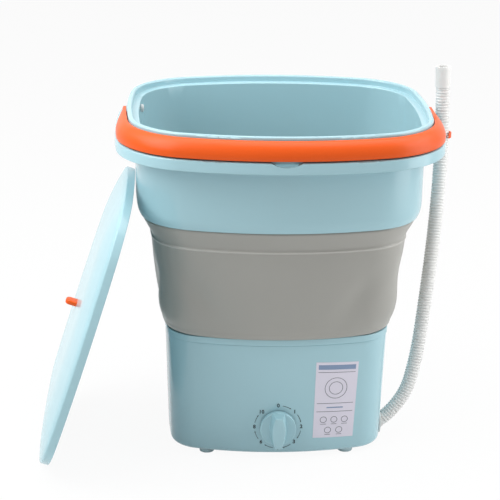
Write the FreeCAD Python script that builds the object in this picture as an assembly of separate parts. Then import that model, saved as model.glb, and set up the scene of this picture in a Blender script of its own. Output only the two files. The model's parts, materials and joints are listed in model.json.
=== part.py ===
import FreeCAD, Part
import math
import os

# Folding portable washing machine: a base with the drive, a soft folding wall,
# an upper tub with a carrying handle, a drain hose in a clip and a lid that leans beside it.
# Millimetres. Origin on the floor under the middle of the tub, +Z up, the dial faces -Y.

# Plan of the lip round the upper tub: a rectangle with bowed sides and round corners
LIP_HALF_WIDTH = 178.0
LIP_HALF_DEPTH = 161.0
LIP_CORNER_RADIUS = 95.0
FRONT_BOW_RADIUS = 393.0
SIDE_BOW_RADIUS = 718.0

# Heights of the storeys, from the floor up
FOOT_HEIGHT = 5.0
BASE_HEIGHT = 128.6
COLLAR_HEIGHT = 7.4
BELLOWS_LEG = 103.6
BELLOWS_SHOULDER = 24.0
TUB_WALL_HEIGHT = 70.5
LIP_HEIGHT = 12.2
HANDLE_CHANNEL = 13.8
LEDGE_THICKNESS = 2.8
LID_RECESS = 7.3

# How far each level stands in from the lip
BASE_INSET = 58.8
BASE_FLARE = 4.3
COLLAR_INSET = 53.6
WAIST_INSET = 40.5
CREASE_INSET = 37.5
TUB_FOOT_INSET = 26.0
TUB_BELLY_INSET = 22.6
TUB_TOP_INSET = 21.8
RIM_INSET = 13.7
RECESS_INSET = 19.35
LEDGE_INSET = 26.5
WASH_FLOOR_INSET = 60.4

# Walls and rounds
BASE_WALL = 2.5
TUB_WALL = 2.8
LIP_WALL = 2.4
RIM_ROUND = 2.2
BELLOWS_WALL = 2.5
LID_WALL = 2.4
FLOOR_WALL = 3.0
BASE_EDGE_ROUND = 5.5
BASE_LIP_WIDTH = 15.7
WASH_FLOOR_ROUND = 8.0
WASH_FLOOR_DEPTH = 38.6
BELLOWS_TONGUE = 12.0
FLANGE_RECESS = 2.1
TONGUE_INSET = 0.5

# Clearances
SEAM = 0.35
SLIP = 0.1
RUN = 0.05
CLEAR = 0.3

# Carrying handle
HANDLE_GAP = 1.9
HANDLE_HEIGHT = 18.5
HANDLE_WALL = 3.0
HANDLE_FOOT_INSET = 0.6
HANDLE_TOP_INSET = 9.7
HANDLE_BULGE = 3.4
HANDLE_TAPER = 7.6
HANDLE_PIN_BULGE = 1.4
HANDLE_ARM_STEPS = 4
HANDLE_PIN_RADIUS = 3.5
PIN_BOSS_RADIUS = 5.4
NOTCH_WIDTH = 33.0
NOTCH_DEPTH = 4.7

# Lid, beside the tub
LID_CLEARANCE = 1.2
LID_SKIRT = 10.0
LID_CROWN = 9.5
LID_FLAT_INSET = 92.0
LID_EDGE = 1.6
LID_LEAN = 17.8
LID_SHIFT_Y = -49.7
LID_FLOOR_GAP = 0.2
LID_HANDLE_SPAN = 14.0
LID_HANDLE_RISE = 12.5
LID_HANDLE_WIDTH = 5.0
LID_HANDLE_ROUND = 5.0
LID_HANDLE_EDGE = 1.6
LID_HANDLE_OFFSET = 7.5

# Small translucent plug in the wall beside the handle's left pin
PLUG_RADIUS = 4.5
PLUG_HEAD = 3.0
PLUG_STEM_RADIUS = 2.5
PLUG_Y = 42.0
PLUG_DROP = 8.5

# Feet and the screws of the base
FOOT_RADIUS = 9.0
FOOT_TAPER = 1.0
FOOT_SIDE_INSET = 42.2
FOOT_FRONT_INSET = 22.7
FOOT_STUD_RADIUS = 2.9
SCREW_RADIUS = 1.75
SCREW_HEAD_RADIUS = 3.5
SCREW_HEAD_HEIGHT = 1.6
SCREW_LENGTH = 9.0
PLATE_THICKNESS = 3.0
PLATE_SCREW_INSET = 72.0
PLATE_SCREW_X = 40.0
PLATE_BOSS_RADIUS = 4.0
PLATE_BOSS_HEIGHT = 6.0
POST_RADIUS = 5.0
POST_PLACES = [(-48.0, -72.0), (48.0, -72.0), (-12.0, 74.0), (78.0, 60.0)]

# Drive: shaft, bearings, pulleys and belt
SHAFT_RADIUS = 5.0
BEARING_RADIUS = 13.0
BEARING_WIDTH = 8.0
BEARING_BOSS_RADIUS = 17.0
BEARING_BOSS_LENGTH = 40.0
BEARING_SPACING = 24.0
BOSS_RIB_LENGTH = 26.0
BOSS_RIB_DEPTH = 14.0
SEAL_HEIGHT = 8.0
PULLEY_GROOVE_RADIUS = 36.0
MOTOR_PULLEY_GROOVE_RADIUS = 8.0
GROOVE_DEPTH = 4.5
GROOVE_WIDTH = 7.0
PULLEY_FLANGE = 2.5
PULLEY_HUB_RADIUS = 9.0
PULLEY_LIFT = 11.0
BELT_THICKNESS = 4.0
BELT_WIDTH = 6.0
NUT_ACROSS_FLATS = 16.0
NUT_HEIGHT = 6.0

# Pulsator in the wash tub
PULSATOR_RADIUS = 68.0
PULSATOR_GAP = 2.8
PULSATOR_RIM = 3.6
PULSATOR_HUB_RADIUS = 12.0
PULSATOR_HUB_HEIGHT = 16.0
PULSATOR_VANES = 4
PULSATOR_VANE_WIDTH = 10.0
PULSATOR_HOLES = 5
PULSATOR_HOLE_RADIUS = 2.2

# Motor
MOTOR_X = -58.0
MOTOR_Y = 30.0
MOTOR_RADIUS = 36.0
MOTOR_PULLEY_GAP = 10.5
MOTOR_WALL = 2.0
MOTOR_PLATE = 3.0
MOTOR_LUG_CIRCLE = 42.0
MOTOR_LUG_RADIUS = 6.0
MOTOR_BOSS_HEIGHT = 5.0
MOTOR_SHAFT_RADIUS = 4.0
ROTOR_RADIUS = 23.5
ROTOR_END_GAP = 4.0
AIR_GAP = 0.5

# Dial and timer
DIAL_HEIGHT = 32.7
KNOB_RADIUS = 19.8
KNOB_DISC = 5.0
KNOB_GRIP = 12.5
KNOB_GRIP_TOP = 13.0
KNOB_GRIP_MIDDLE = 19.0
KNOB_GRIP_FOOT = 12.0
KNOB_BEVEL = 2.6
KNOB_STANDOFF = 2.2
TIMER_SHAFT_RADIUS = 3.0
TIMER_WIDTH = 42.0
TIMER_DEPTH = 32.0
TIMER_SCREW_SPREAD = 26.0

# Drain
DRAIN_INSET = 37.6
DRAIN_Y = -46.5
STRAINER_RADIUS = 18.0
DRAIN_HOLE_RADIUS = 13.0
SUMP_DEPTH = 12.0
PIPE_RADIUS = 7.0
PIPE_BORE_RADIUS = 5.0
PIPE_BEND_RADIUS = 25.0
OUTLET_KNEE = 6.5
OUTLET_FLANGE_RADIUS = 12.2
OUTLET_FLANGE_THICKNESS = 1.6
OUTLET_HOLE_RADIUS = 10.2

# Drain hose: its route was chosen by hand from the outlet to the foot of the cuff.
# Each point is (out from the lip's right side, y, z)
HOSE_ROUTE = [
    (-55.8, -45.9, 22.7),
    (-32.0, -42.0, 42.5),
    (-17.5, -28.5, 88.0),
    (-9.0, -13.0, 143.0),
    (-1.0, 2.0, 203.0),
    (5.0, 17.0, 260.0),
    (8.4, 30.0, 310.0),
    (9.2, 37.0, 350.0),
    (8.2, 39.0, 386.0),
]
HOSE_RADIUS = 8.0
HOSE_ROOT_RADIUS = 7.0
HOSE_BORE_RADIUS = 6.0
RIB_PITCH = 2.8
RIB_PROFILE = [(0.08, HOSE_ROOT_RADIUS), (0.3, HOSE_RADIUS), (0.62, HOSE_RADIUS), (0.84, HOSE_ROOT_RADIUS)]
CUFF_RADIUS = 8.3
CUFF_BORE_RADIUS = 6.5
CUFF_LIP_RADIUS = 8.55
CUFF_LIP_HEIGHT = 4.6
CUFF_LENGTH = 23.5
BEND_SHARE = 0.45

# Clip that holds the hose under the lip
CLIP_DROP = 4.0
CLIP_HEIGHT = 5.5
CLIP_WALL = 1.6
CLIP_CLEARANCE = 1.1
CLIP_MOUTH = 13.0
CLIP_ARM_WIDTH = 6.0
CLIP_PAD_WIDTH = 24.0
CLIP_PAD_THICKNESS = 3.0

# Mains inlet, capacitor and the leads inside the base
INLET_WIDTH = 30.0
INLET_HEIGHT = 20.0
INLET_DEPTH = 18.0
INLET_FLANGE = 3.0
INLET_FLANGE_THICKNESS = 2.2
INLET_SOCKET_WIDTH = 20.0
INLET_SOCKET_HEIGHT = 11.2
INLET_SOCKET_BACK = 3.0
INLET_PIN_RADIUS = 1.2
INLET_PIN_SPACING = 13.0
INLET_PIN_SETBACK = 3.0
CAPACITOR_X = 45.0
CAPACITOR_Y = 48.0
CAPACITOR_RADIUS = 15.0
CAPACITOR_LENGTH = 48.0
CUP_WALL = 2.0
CUP_HEIGHT = 10.0
LEAD_RADIUS = 2.5
MAINS_LEAD_ROUTE = [
    (6.0, 84.5, 38.0),
    (8.0, 68.0, 42.0),
    (20.0, 44.0, 46.0),
    (44.0, 18.0, 46.0),
    (58.0, -14.0, 44.0),
    (56.0, -42.0, 42.0),
    (40.0, -62.0, 40.0),
    (33.0, -78.0, 39.0),
    (21.6, -80.0, 39.0),
]
MOTOR_LEAD_ROUTE = [
    (-21.6, -80.0, 39.0),
    (-33.0, -78.0, 39.0),
    (-44.0, -60.0, 43.0),
    (-68.0, -50.0, 52.0),
    (-80.0, -28.0, 58.0),
    (-74.2, -3.6, 62.0),
]

# Levels worked out from the sizes above
z_base = FOOT_HEIGHT
z_base_top = z_base + BASE_HEIGHT
z_collar = z_base_top + SEAM
z_collar_top = z_collar + COLLAR_HEIGHT
z_bellows = z_collar_top + SEAM
z_crease = z_bellows + BELLOWS_LEG
z_tub = z_crease + BELLOWS_SHOULDER
z_lip = z_tub + TUB_WALL_HEIGHT
z_lip_top = z_lip + LIP_HEIGHT
z_rim_under = z_lip_top + HANDLE_CHANNEL
z_ledge = z_rim_under + LEDGE_THICKNESS
z_rim = z_ledge + LID_RECESS
z_plate = z_base + BASE_WALL
z_plate_top = z_plate + PLATE_THICKNESS
z_floor = z_base_top - WASH_FLOOR_DEPTH
z_floor_under = z_floor - FLOOR_WALL
z_handle = z_lip_top + HANDLE_GAP
z_pivot = z_handle + HANDLE_HEIGHT / 2
z_dial = z_base + DIAL_HEIGHT

# Half widths worked out from the insets
w_base = LIP_HALF_WIDTH - BASE_INSET
w_base_top = w_base + BASE_FLARE
w_collar = LIP_HALF_WIDTH - COLLAR_INSET
w_waist = LIP_HALF_WIDTH - WAIST_INSET
w_crease = LIP_HALF_WIDTH - CREASE_INSET
w_tub_foot = LIP_HALF_WIDTH - TUB_FOOT_INSET
w_tub_belly = LIP_HALF_WIDTH - TUB_BELLY_INSET
w_tub_top = LIP_HALF_WIDTH - TUB_TOP_INSET
w_rim = LIP_HALF_WIDTH - RIM_INSET
w_recess = LIP_HALF_WIDTH - RECESS_INSET
w_ledge = LIP_HALF_WIDTH - LEDGE_INSET
w_floor = LIP_HALF_WIDTH - WASH_FLOOR_INSET
w_lid = w_recess - LID_CLEARANCE
w_base_inner = w_base_top - BASE_WALL
w_collar_inner = w_collar - BELLOWS_WALL
w_bellows_foot = w_collar_inner - TONGUE_INSET
w_tongue = w_bellows_foot - BELLOWS_WALL - SEAM
drain_x = w_floor - DRAIN_INSET

V = FreeCAD.Vector
UP = V(0, 0, 1)
ALONG_X = V(1, 0, 0)


# General shapes

def fused(shapes):
    """Join shapes into one and merge the faces that run on."""
    whole = shapes[0].multiFuse(shapes[1:]) if len(shapes) > 1 else shapes[0]
    whole = whole.removeSplitter()
    return whole.Solids[0] if len(whole.Solids) == 1 else whole


def cylinder(radius, bottom, top, x=0.0, y=0.0):
    return Part.makeCylinder(radius, top - bottom, V(x, y, bottom), UP)


def tube(outer, inner, bottom, top, x=0.0, y=0.0):
    return cylinder(outer, bottom, top, x, y).cut(cylinder(inner, bottom - 1, top + 1, x, y))


def rod(radius, start, end):
    axis = end - start
    return Part.makeCylinder(radius, axis.Length, start, axis)


def block(x_low, x_high, y_low, y_high, z_low, z_high):
    return Part.makeBox(x_high - x_low, y_high - y_low, z_high - z_low, V(x_low, y_low, z_low))


def flat_edges(shape, height):
    """Edges of a shape that lie flat at one height."""
    return [edge for edge in shape.Edges
            if edge.BoundBox.ZLength < 1e-6 and abs(edge.BoundBox.ZMin - height) < 1e-6]


def rounded_loop(points, place):
    """Closed wire through 2-D points. A point is (u, v), (u, v, corner round) or
    (u, v, 0, (u, v)), where the last pair is a point that the side before it curves through."""
    count = len(points)
    corners = [V(point[0], point[1], 0) for point in points]
    enter, leave, middle = [], [], []
    for index in range(count):
        here = corners[index]
        round_size = points[index][2] if len(points[index]) > 2 else 0.0
        if round_size <= 0.0:
            enter.append(here)
            leave.append(here)
            middle.append(None)
            continue
        back = (corners[index - 1] - here).normalize()
        ahead = (corners[(index + 1) % count] - here).normalize()
        half = back.getAngle(ahead) / 2
        reach = round_size / math.tan(half)
        enter.append(here + back * reach)
        leave.append(here + ahead * reach)
        bisector = (back + ahead).normalize()
        middle.append(here + bisector * (round_size / math.sin(half) - round_size))
    edges = []
    for index in range(count):
        start, end = leave[index - 1], enter[index]
        if len(points[index]) > 3:
            via = V(points[index][3][0], points[index][3][1], 0)
            edges.append(Part.Arc(place(start), place(via), place(end)).toShape())
        elif start.distanceToPoint(end) > 1e-6:
            edges.append(Part.LineSegment(place(start), place(end)).toShape())
        if middle[index] is not None:
            arc = Part.Arc(place(enter[index]), place(middle[index]), place(leave[index]))
            edges.append(arc.toShape())
    return Part.Wire(edges)


def turned(points, x=0.0, y=0.0):
    """Solid of revolution about a vertical axis from (radius, height) points."""
    face = Part.Face(rounded_loop(points, lambda p: V(p.x, 0, p.y)))
    solid = face.revolve(V(0, 0, 0), UP, 360)
    solid.translate(V(x, y, 0))
    return solid


# The plan: eight arcs that run into each other

def corner_centre():
    """Centre of the front right corner arc, tangent to the front and side arcs."""
    front = V(0, FRONT_BOW_RADIUS - LIP_HALF_DEPTH, 0)
    side = V(LIP_HALF_WIDTH - SIDE_BOW_RADIUS, 0, 0)
    to_front = FRONT_BOW_RADIUS - LIP_CORNER_RADIUS
    to_side = SIDE_BOW_RADIUS - LIP_CORNER_RADIUS
    span = side - front
    along = (to_front ** 2 - to_side ** 2 + span.Length ** 2) / (2 * span.Length)
    across = math.sqrt(to_front ** 2 - along ** 2)
    direction = V(span).normalize()
    normal = V(-direction.y, direction.x, 0)
    choices = [front + direction * along + normal * side_sign * across for side_sign in (1, -1)]
    return max(choices, key=lambda point: point.x - point.y)


def plan_sectors():
    """Each arc of the lip's plan: centre, radius, start and end angle in degrees."""
    corner = corner_centre()
    front_y = FRONT_BOW_RADIUS - LIP_HALF_DEPTH
    side_x = LIP_HALF_WIDTH - SIDE_BOW_RADIUS
    first = math.degrees(math.atan2(corner.y - front_y, corner.x))
    second = math.degrees(math.atan2(corner.y, corner.x - side_x))
    return {
        "front": (0, front_y, FRONT_BOW_RADIUS, -180 - first, first),
        "front_right": (corner.x, corner.y, LIP_CORNER_RADIUS, first, second),
        "right": (side_x, 0, SIDE_BOW_RADIUS, second, -second),
        "back_right": (corner.x, -corner.y, LIP_CORNER_RADIUS, -second, -first),
        "back": (0, -front_y, FRONT_BOW_RADIUS, -first, 180 + first),
        "back_left": (-corner.x, -corner.y, LIP_CORNER_RADIUS, 180 + first, 180 + second),
        "left": (-side_x, 0, SIDE_BOW_RADIUS, 180 + second, 180 - second),
        "front_left": (-corner.x, corner.y, LIP_CORNER_RADIUS, 180 - second, 180 - first),
    }


SECTORS = plan_sectors()


def ring(points, sectors=None):
    """Wall that follows the plan, from a section of (half width, height) points."""
    pieces = []
    for x, y, radius, start, end in sectors or SECTORS.values():
        shift = radius - LIP_HALF_WIDTH
        face = Part.Face(rounded_loop(points, lambda p: V(p.x + shift, 0, p.y)))
        face.rotate(V(0, 0, 0), UP, start)
        piece = face.revolve(V(0, 0, 0), UP, end - start)
        piece.translate(V(x, y, 0))
        pieces.append(piece)
    return fused(pieces)


def slab(half_width, bottom, top):
    """Flat plate that fills the plan at one half width."""
    edges = []
    for x, y, radius, start, end in SECTORS.values():
        size = radius - LIP_HALF_WIDTH + half_width
        circle = Part.Circle(V(x, y, bottom), UP, size)
        edges.append(Part.ArcOfCircle(circle, math.radians(start), math.radians(end)).toShape())
    return Part.Face(Part.Wire(edges)).extrude(V(0, 0, top - bottom))


def side_x(half_width, y):
    """X of the right side at a half width, at depth y."""
    x, _, radius, _, _ = SECTORS["right"]
    return x + math.sqrt((radius - LIP_HALF_WIDTH + half_width) ** 2 - y ** 2)


def front_y(half_width, x):
    """Y of the front at a half width, at place x."""
    _, y, radius, _, _ = SECTORS["front"]
    return y - math.sqrt((radius - LIP_HALF_WIDTH + half_width) ** 2 - x ** 2)


def base_half_width(height):
    return w_base + BASE_FLARE * (height - z_base) / BASE_HEIGHT


def tub_half_width(height):
    """Outside of the upper tub's wall between its belly and the lip."""
    belly = z_tub + WASH_FLOOR_ROUND * 1.7
    return w_tub_belly + (w_tub_top - w_tub_belly) * (height - belly) / (z_lip_top - belly)


def outside_half_width(height):
    """Outside of the tub's wall, or of the folding wall's shoulder below it."""
    if height > z_tub:
        return tub_half_width(height)
    return w_crease + (w_tub_foot - w_crease) * (height - z_crease) / BELLOWS_SHOULDER


# Places that several pieces share

def foot_places():
    foot_x = w_base - FOOT_SIDE_INSET
    foot_y = -front_y(w_base, 0) - FOOT_FRONT_INSET
    return [(x, y) for x in (-foot_x, foot_x) for y in (-foot_y, foot_y)]


def plate_screw_places():
    half_width = LIP_HALF_WIDTH - PLATE_SCREW_INSET
    y = front_y(half_width, PLATE_SCREW_X)
    corners = [(x, s * y) for x in (-PLATE_SCREW_X, PLATE_SCREW_X) for s in (-1, 1)]
    return corners + [(-half_width, 0.0), (half_width, 0.0)]


def motor_lug_places():
    places = []
    for step in range(4):
        angle = math.radians(45 + 90 * step)
        x = MOTOR_X + MOTOR_LUG_CIRCLE * math.cos(angle)
        y = MOTOR_Y + MOTOR_LUG_CIRCLE * math.sin(angle)
        places.append((x, y))
    return places


def screw(x, y, seat, length, head_up=False):
    """Pan-head screw along Z, its head on one side of the seat and its shank on the other."""
    sign = 1 if head_up else -1
    head = rod(SCREW_HEAD_RADIUS, V(x, y, seat), V(x, y, seat + sign * SCREW_HEAD_HEIGHT))
    head = head.makeFillet(SCREW_HEAD_HEIGHT * 0.45, flat_edges(head, seat + sign * SCREW_HEAD_HEIGHT))
    slot_depth = SCREW_HEAD_HEIGHT * 0.6
    slot_end = seat + sign * SCREW_HEAD_HEIGHT
    slot_low = min(slot_end, slot_end - sign * slot_depth)
    for wide, narrow in ((SCREW_HEAD_RADIUS * 0.62, 0.4), (0.4, SCREW_HEAD_RADIUS * 0.62)):
        head = head.cut(block(x - wide, x + wide, y - narrow, y + narrow, slot_low, slot_low + slot_depth))
    shank = rod(SCREW_RADIUS, V(x, y, seat), V(x, y, seat - sign * length))
    return fused([head, shank])


def group(shapes):
    return Part.makeCompound(shapes)


# The outlet: a knee in the side of the base that points along the hose's first run

hose_points = [V(LIP_HALF_WIDTH + out, y, z) for out, y, z in HOSE_ROUTE]
hose_start = hose_points[0]
hose_direction = (hose_points[1] - hose_points[0]).normalize()
outlet_knee = hose_start - hose_direction * OUTLET_KNEE


def outlet_hole():
    return rod(OUTLET_HOLE_RADIUS, outlet_knee - ALONG_X * 12, outlet_knee + ALONG_X * 12)


# Base

def base_housing():
    ledge = z_base_top - FLANGE_RECESS
    ledge_width = w_tongue + SEAM
    section = [
        (w_base - BASE_EDGE_ROUND - BASE_LIP_WIDTH, z_base),
        (w_base, z_base, BASE_EDGE_ROUND),
        (w_base_top, z_base_top, 0.4),
        (w_base_inner, z_base_top),
        (w_base_inner, ledge),
        (ledge_width, ledge),
        (ledge_width, ledge - BASE_WALL),
        (w_base_inner - 0.1, ledge - 2 * BASE_WALL),
        (w_base - BASE_WALL, z_plate, BASE_EDGE_ROUND - BASE_WALL),
        (w_base - BASE_EDGE_ROUND - BASE_LIP_WIDTH, z_plate),
    ]
    housing = ring(section)
    cuts = [cylinder(FOOT_STUD_RADIUS + SLIP, z_base - 1, z_plate + 1, x, y) for x, y in foot_places()]
    cuts += [cylinder(SCREW_RADIUS + SLIP, z_base - 1, z_plate + 1, x, y) for x, y in plate_screw_places()]
    panel_y = front_y(base_half_width(z_dial), 0)
    inner, outer = V(0, panel_y + 9, z_dial), V(0, panel_y - 9, z_dial)
    cuts.append(rod(TIMER_SHAFT_RADIUS + 1.5, inner, outer))
    for x in (-TIMER_SCREW_SPREAD / 2, TIMER_SCREW_SPREAD / 2):
        cuts.append(rod(SCREW_RADIUS + SLIP, inner + ALONG_X * x, outer + ALONG_X * x))
    cuts.append(outlet_hole())
    back = LIP_HALF_DEPTH - (LIP_HALF_WIDTH - base_half_width(z_dial))
    cuts.append(block(-INLET_WIDTH / 2 - CLEAR, INLET_WIDTH / 2 + CLEAR, back - 9, back + 9,
                      z_dial - INLET_HEIGHT / 2 - CLEAR, z_dial + INLET_HEIGHT / 2 + CLEAR))
    return housing.cut(cuts).removeSplitter().Solids[0]


def base_plate():
    half_width = w_base - BASE_EDGE_ROUND - SEAM
    solids = [slab(half_width, z_plate, z_plate_top)]
    for x, y in plate_screw_places():
        solids.append(cylinder(PLATE_BOSS_RADIUS, z_plate_top, z_plate_top + PLATE_BOSS_HEIGHT, x, y))
    cup_outer = CAPACITOR_RADIUS + CLEAR + CUP_WALL
    solids.append(tube(cup_outer, CAPACITOR_RADIUS + CLEAR, z_plate_top, z_plate_top + CUP_HEIGHT,
                       CAPACITOR_X, CAPACITOR_Y))
    plate = fused(solids)
    top = z_plate_top + PLATE_BOSS_HEIGHT + 1
    cuts = [cylinder(FOOT_STUD_RADIUS + SLIP, z_plate - 1, z_plate_top + 1, x, y) for x, y in foot_places()]
    cuts += [cylinder(SCREW_RADIUS + SLIP, z_plate - 1, top, x, y) for x, y in plate_screw_places()]
    cuts += [cylinder(SCREW_RADIUS + SLIP, z_plate - 1, z_plate_top + 1, x, y) for x, y in POST_PLACES]
    return plate.cut(cuts).removeSplitter().Solids[0]


def rubber_feet():
    feet = []
    for x, y in foot_places():
        pad = Part.makeCone(FOOT_RADIUS - FOOT_TAPER, FOOT_RADIUS, FOOT_HEIGHT, V(x, y, 0), UP)
        stud = cylinder(FOOT_STUD_RADIUS, FOOT_HEIGHT, z_plate_top - CLEAR, x, y)
        feet.append(fused([pad, stud]))
    return group(feet)


def base_screws():
    return group([screw(x, y, z_base, SCREW_LENGTH) for x, y in plate_screw_places()])


def floor_screws():
    return group([screw(x, y, z_plate, SCREW_LENGTH + PLATE_THICKNESS) for x, y in POST_PLACES])


# Wash floor, folding wall and upper tub

def wash_floor():
    tongue = w_tongue
    flange = z_base_top - FLANGE_RECESS
    flat = LIP_HALF_WIDTH - LID_FLAT_INSET
    outer_round = WASH_FLOOR_ROUND + FLOOR_WALL
    section = [
        (flat, z_floor_under),
        (w_floor, z_floor_under, outer_round),
        (tongue, flange),
        (w_base_inner - SEAM, flange),
        (w_base_inner - SEAM, z_collar),
        (tongue, z_collar),
        (tongue, z_collar_top - SEAM, 0.8),
        (tongue - FLOOR_WALL + 0.4, z_collar_top - SEAM, 0.8),
        (w_floor - FLOOR_WALL, z_floor, WASH_FLOOR_ROUND),
        (flat, z_floor),
    ]
    solids = [ring(section), slab(flat, z_floor_under, z_floor)]
    boss_bottom = z_floor_under - BEARING_BOSS_LENGTH
    solids.append(cylinder(BEARING_BOSS_RADIUS, boss_bottom, z_floor + 1.2))
    for step in range(6):
        rib = block(0, BOSS_RIB_LENGTH, -1.2, 1.2, z_floor_under - BOSS_RIB_DEPTH, z_floor_under)
        rib.rotate(V(0, 0, 0), UP, 15 + 60 * step)
        solids.append(rib)
    for x, y in POST_PLACES:
        solids.append(cylinder(POST_RADIUS, z_plate_top, z_floor_under, x, y))
    for x, y in motor_lug_places():
        solids.append(cylinder(MOTOR_LUG_RADIUS, z_floor_under - MOTOR_BOSS_HEIGHT, z_floor_under, x, y))
    sump_bottom = z_floor_under - SUMP_DEPTH
    solids.append(cylinder(DRAIN_HOLE_RADIUS + 2, sump_bottom, z_floor_under, drain_x, DRAIN_Y))
    body = fused(solids)
    upper_seat = z_floor_under - BEARING_WIDTH - 6
    lower_seat = upper_seat - BEARING_SPACING + BEARING_WIDTH
    cuts = [
        cylinder(BEARING_RADIUS + RUN, upper_seat, z_floor + 2),
        cylinder(BEARING_RADIUS + RUN, boss_bottom - 1, lower_seat),
        cylinder(BEARING_RADIUS - 2, boss_bottom, z_floor),
        cylinder(DRAIN_HOLE_RADIUS, sump_bottom + FLOOR_WALL, z_floor + 1, drain_x, DRAIN_Y),
        cylinder(PIPE_BORE_RADIUS, sump_bottom - 1, z_floor, drain_x, DRAIN_Y),
    ]
    for x, y in POST_PLACES:
        cuts.append(cylinder(SCREW_RADIUS + SLIP, z_plate, z_plate_top + SCREW_LENGTH + 1, x, y))
    for x, y in motor_lug_places():
        cuts.append(cylinder(SCREW_RADIUS + SLIP, z_floor_under - MOTOR_BOSS_HEIGHT - 1, z_floor_under, x, y))
    return body.cut(cuts).removeSplitter().Solids[0]


def collar_ring():
    inner = w_collar_inner - SEAM / 2
    section = [
        (w_collar, z_collar, 0.5),
        (w_collar, z_collar_top, 0.8),
        (inner, z_collar_top),
        (inner, z_collar),
    ]
    return ring(section)


def bellows():
    """Soft folding wall: a waist that swells to a crease, then a shoulder under the tub."""
    tongue = w_bellows_foot
    swell = z_bellows + BELLOWS_LEG * 0.71
    mid = z_bellows + BELLOWS_LEG * 0.33
    via_outer = w_collar + (w_waist - w_collar) * 0.58
    shoulder_width = w_tub_foot - 1.2
    shoulder_top = z_tub - SEAM
    tub_inner = w_tub_foot - TUB_WALL
    wall = BELLOWS_WALL
    section = [
        (tongue, z_collar + SEAM),
        (tongue, z_bellows),
        (w_collar, z_bellows, 0.5),
        (w_collar, z_bellows + 1.5),
        (w_waist, swell, 0, (via_outer, mid)),
        (w_crease, z_crease, 5.0),
        (shoulder_width, shoulder_top),
        (tub_inner - SEAM, shoulder_top),
        (tub_inner - SEAM, shoulder_top + BELLOWS_TONGUE),
        (tub_inner - SEAM - wall, shoulder_top + BELLOWS_TONGUE, 0.8),
        (tub_inner - SEAM - wall, shoulder_top - 2, 2.0),
        (w_crease - wall, z_crease, 4.0),
        (w_waist - wall, swell),
        (w_collar - wall, z_bellows + 2.5, 0, (via_outer - wall, mid)),
        (tongue - wall, z_bellows - 0.5),
        (tongue - wall, z_collar + SEAM),
    ]
    return ring(section)


def upper_tub():
    belly = z_tub + WASH_FLOOR_ROUND * 1.7
    lip_under = z_lip_top - LIP_WALL
    draw_in, rise = w_tub_belly - w_tub_foot, belly - z_tub
    bend = (draw_in ** 2 + rise ** 2) / (2 * draw_in)
    half_turn = math.asin(rise / bend) / 2
    foot_via = (w_tub_belly - bend * (1 - math.cos(half_turn)), belly - bend * math.sin(half_turn))
    section = [
        (w_tub_foot, z_tub, 1.0),
        (w_tub_belly, belly, 0, foot_via),
        (w_tub_top, lip_under, 2.0),
        (LIP_HALF_WIDTH - LIP_WALL - 0.6, lip_under, 1.5),
        (LIP_HALF_WIDTH - LIP_WALL, z_lip, 0.8),
        (LIP_HALF_WIDTH, z_lip, 1.0),
        (LIP_HALF_WIDTH - 0.6, z_lip_top, 2.2),
        (w_tub_top, z_lip_top, 1.5),
        (w_tub_top, z_rim_under),
        (w_rim, z_rim_under, 0.8),
        (w_rim, z_rim, RIM_ROUND),
        (w_recess, z_rim, RIM_ROUND),
        (w_recess, z_ledge, 0.8),
        (w_ledge, z_ledge, 1.2),
        (w_tub_foot - TUB_WALL, z_tub, 1.0),
    ]
    body = ring(section)
    bosses = []
    holes = []
    for side in (-1, 1):
        boss_end = side * (w_rim + SEAM)
        bosses.append(rod(PIN_BOSS_RADIUS, V(side * (w_tub_top - 2), 0, z_pivot), V(boss_end, 0, z_pivot)))
        holes.append(rod(HANDLE_PIN_RADIUS + SLIP, V(side * w_tub_top, 0, z_pivot),
                         V(side * (w_rim + 2), 0, z_pivot)))
    body = fused([body] + bosses)
    # A shallow round notch in the front edge of the lip, for a finger under the handle
    notch_radius = (NOTCH_WIDTH ** 2 / 4 + NOTCH_DEPTH ** 2) / (2 * NOTCH_DEPTH)
    notch_z = z_lip_top - NOTCH_DEPTH + notch_radius
    front = -LIP_HALF_DEPTH
    holes.append(rod(notch_radius, V(0, front - 2, notch_z), V(0, front + 3 * LIP_WALL, notch_z)))
    plug = plug_place()
    holes.append(rod(PLUG_STEM_RADIUS + SLIP, plug + ALONG_X * 4, plug - ALONG_X * 10))
    return body.cut(holes).removeSplitter().Solids[0]


def plug_place():
    """Point on the tub's inner left wall where the small plug sits."""
    height = z_ledge - PLUG_DROP
    share = (height - z_tub) / (z_ledge - z_tub)
    inner_foot = w_tub_foot - TUB_WALL
    inner = inner_foot + (w_ledge - inner_foot) * share
    return V(-side_x(inner, PLUG_Y), PLUG_Y, height)


def wall_plug():
    plug = plug_place()
    seat = plug + ALONG_X * SLIP * 3
    head = rod(PLUG_RADIUS, seat, seat + ALONG_X * PLUG_HEAD)
    crown = [edge for edge in head.Edges if edge.BoundBox.XLength < 1e-6
             and abs(edge.BoundBox.XMin - seat.x - PLUG_HEAD) < 1e-6]
    head = head.makeFillet(PLUG_HEAD * 0.6, crown)
    return fused([head, rod(PLUG_STEM_RADIUS, seat, seat - ALONG_X * 5.5)])


# Carrying handle

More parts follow.
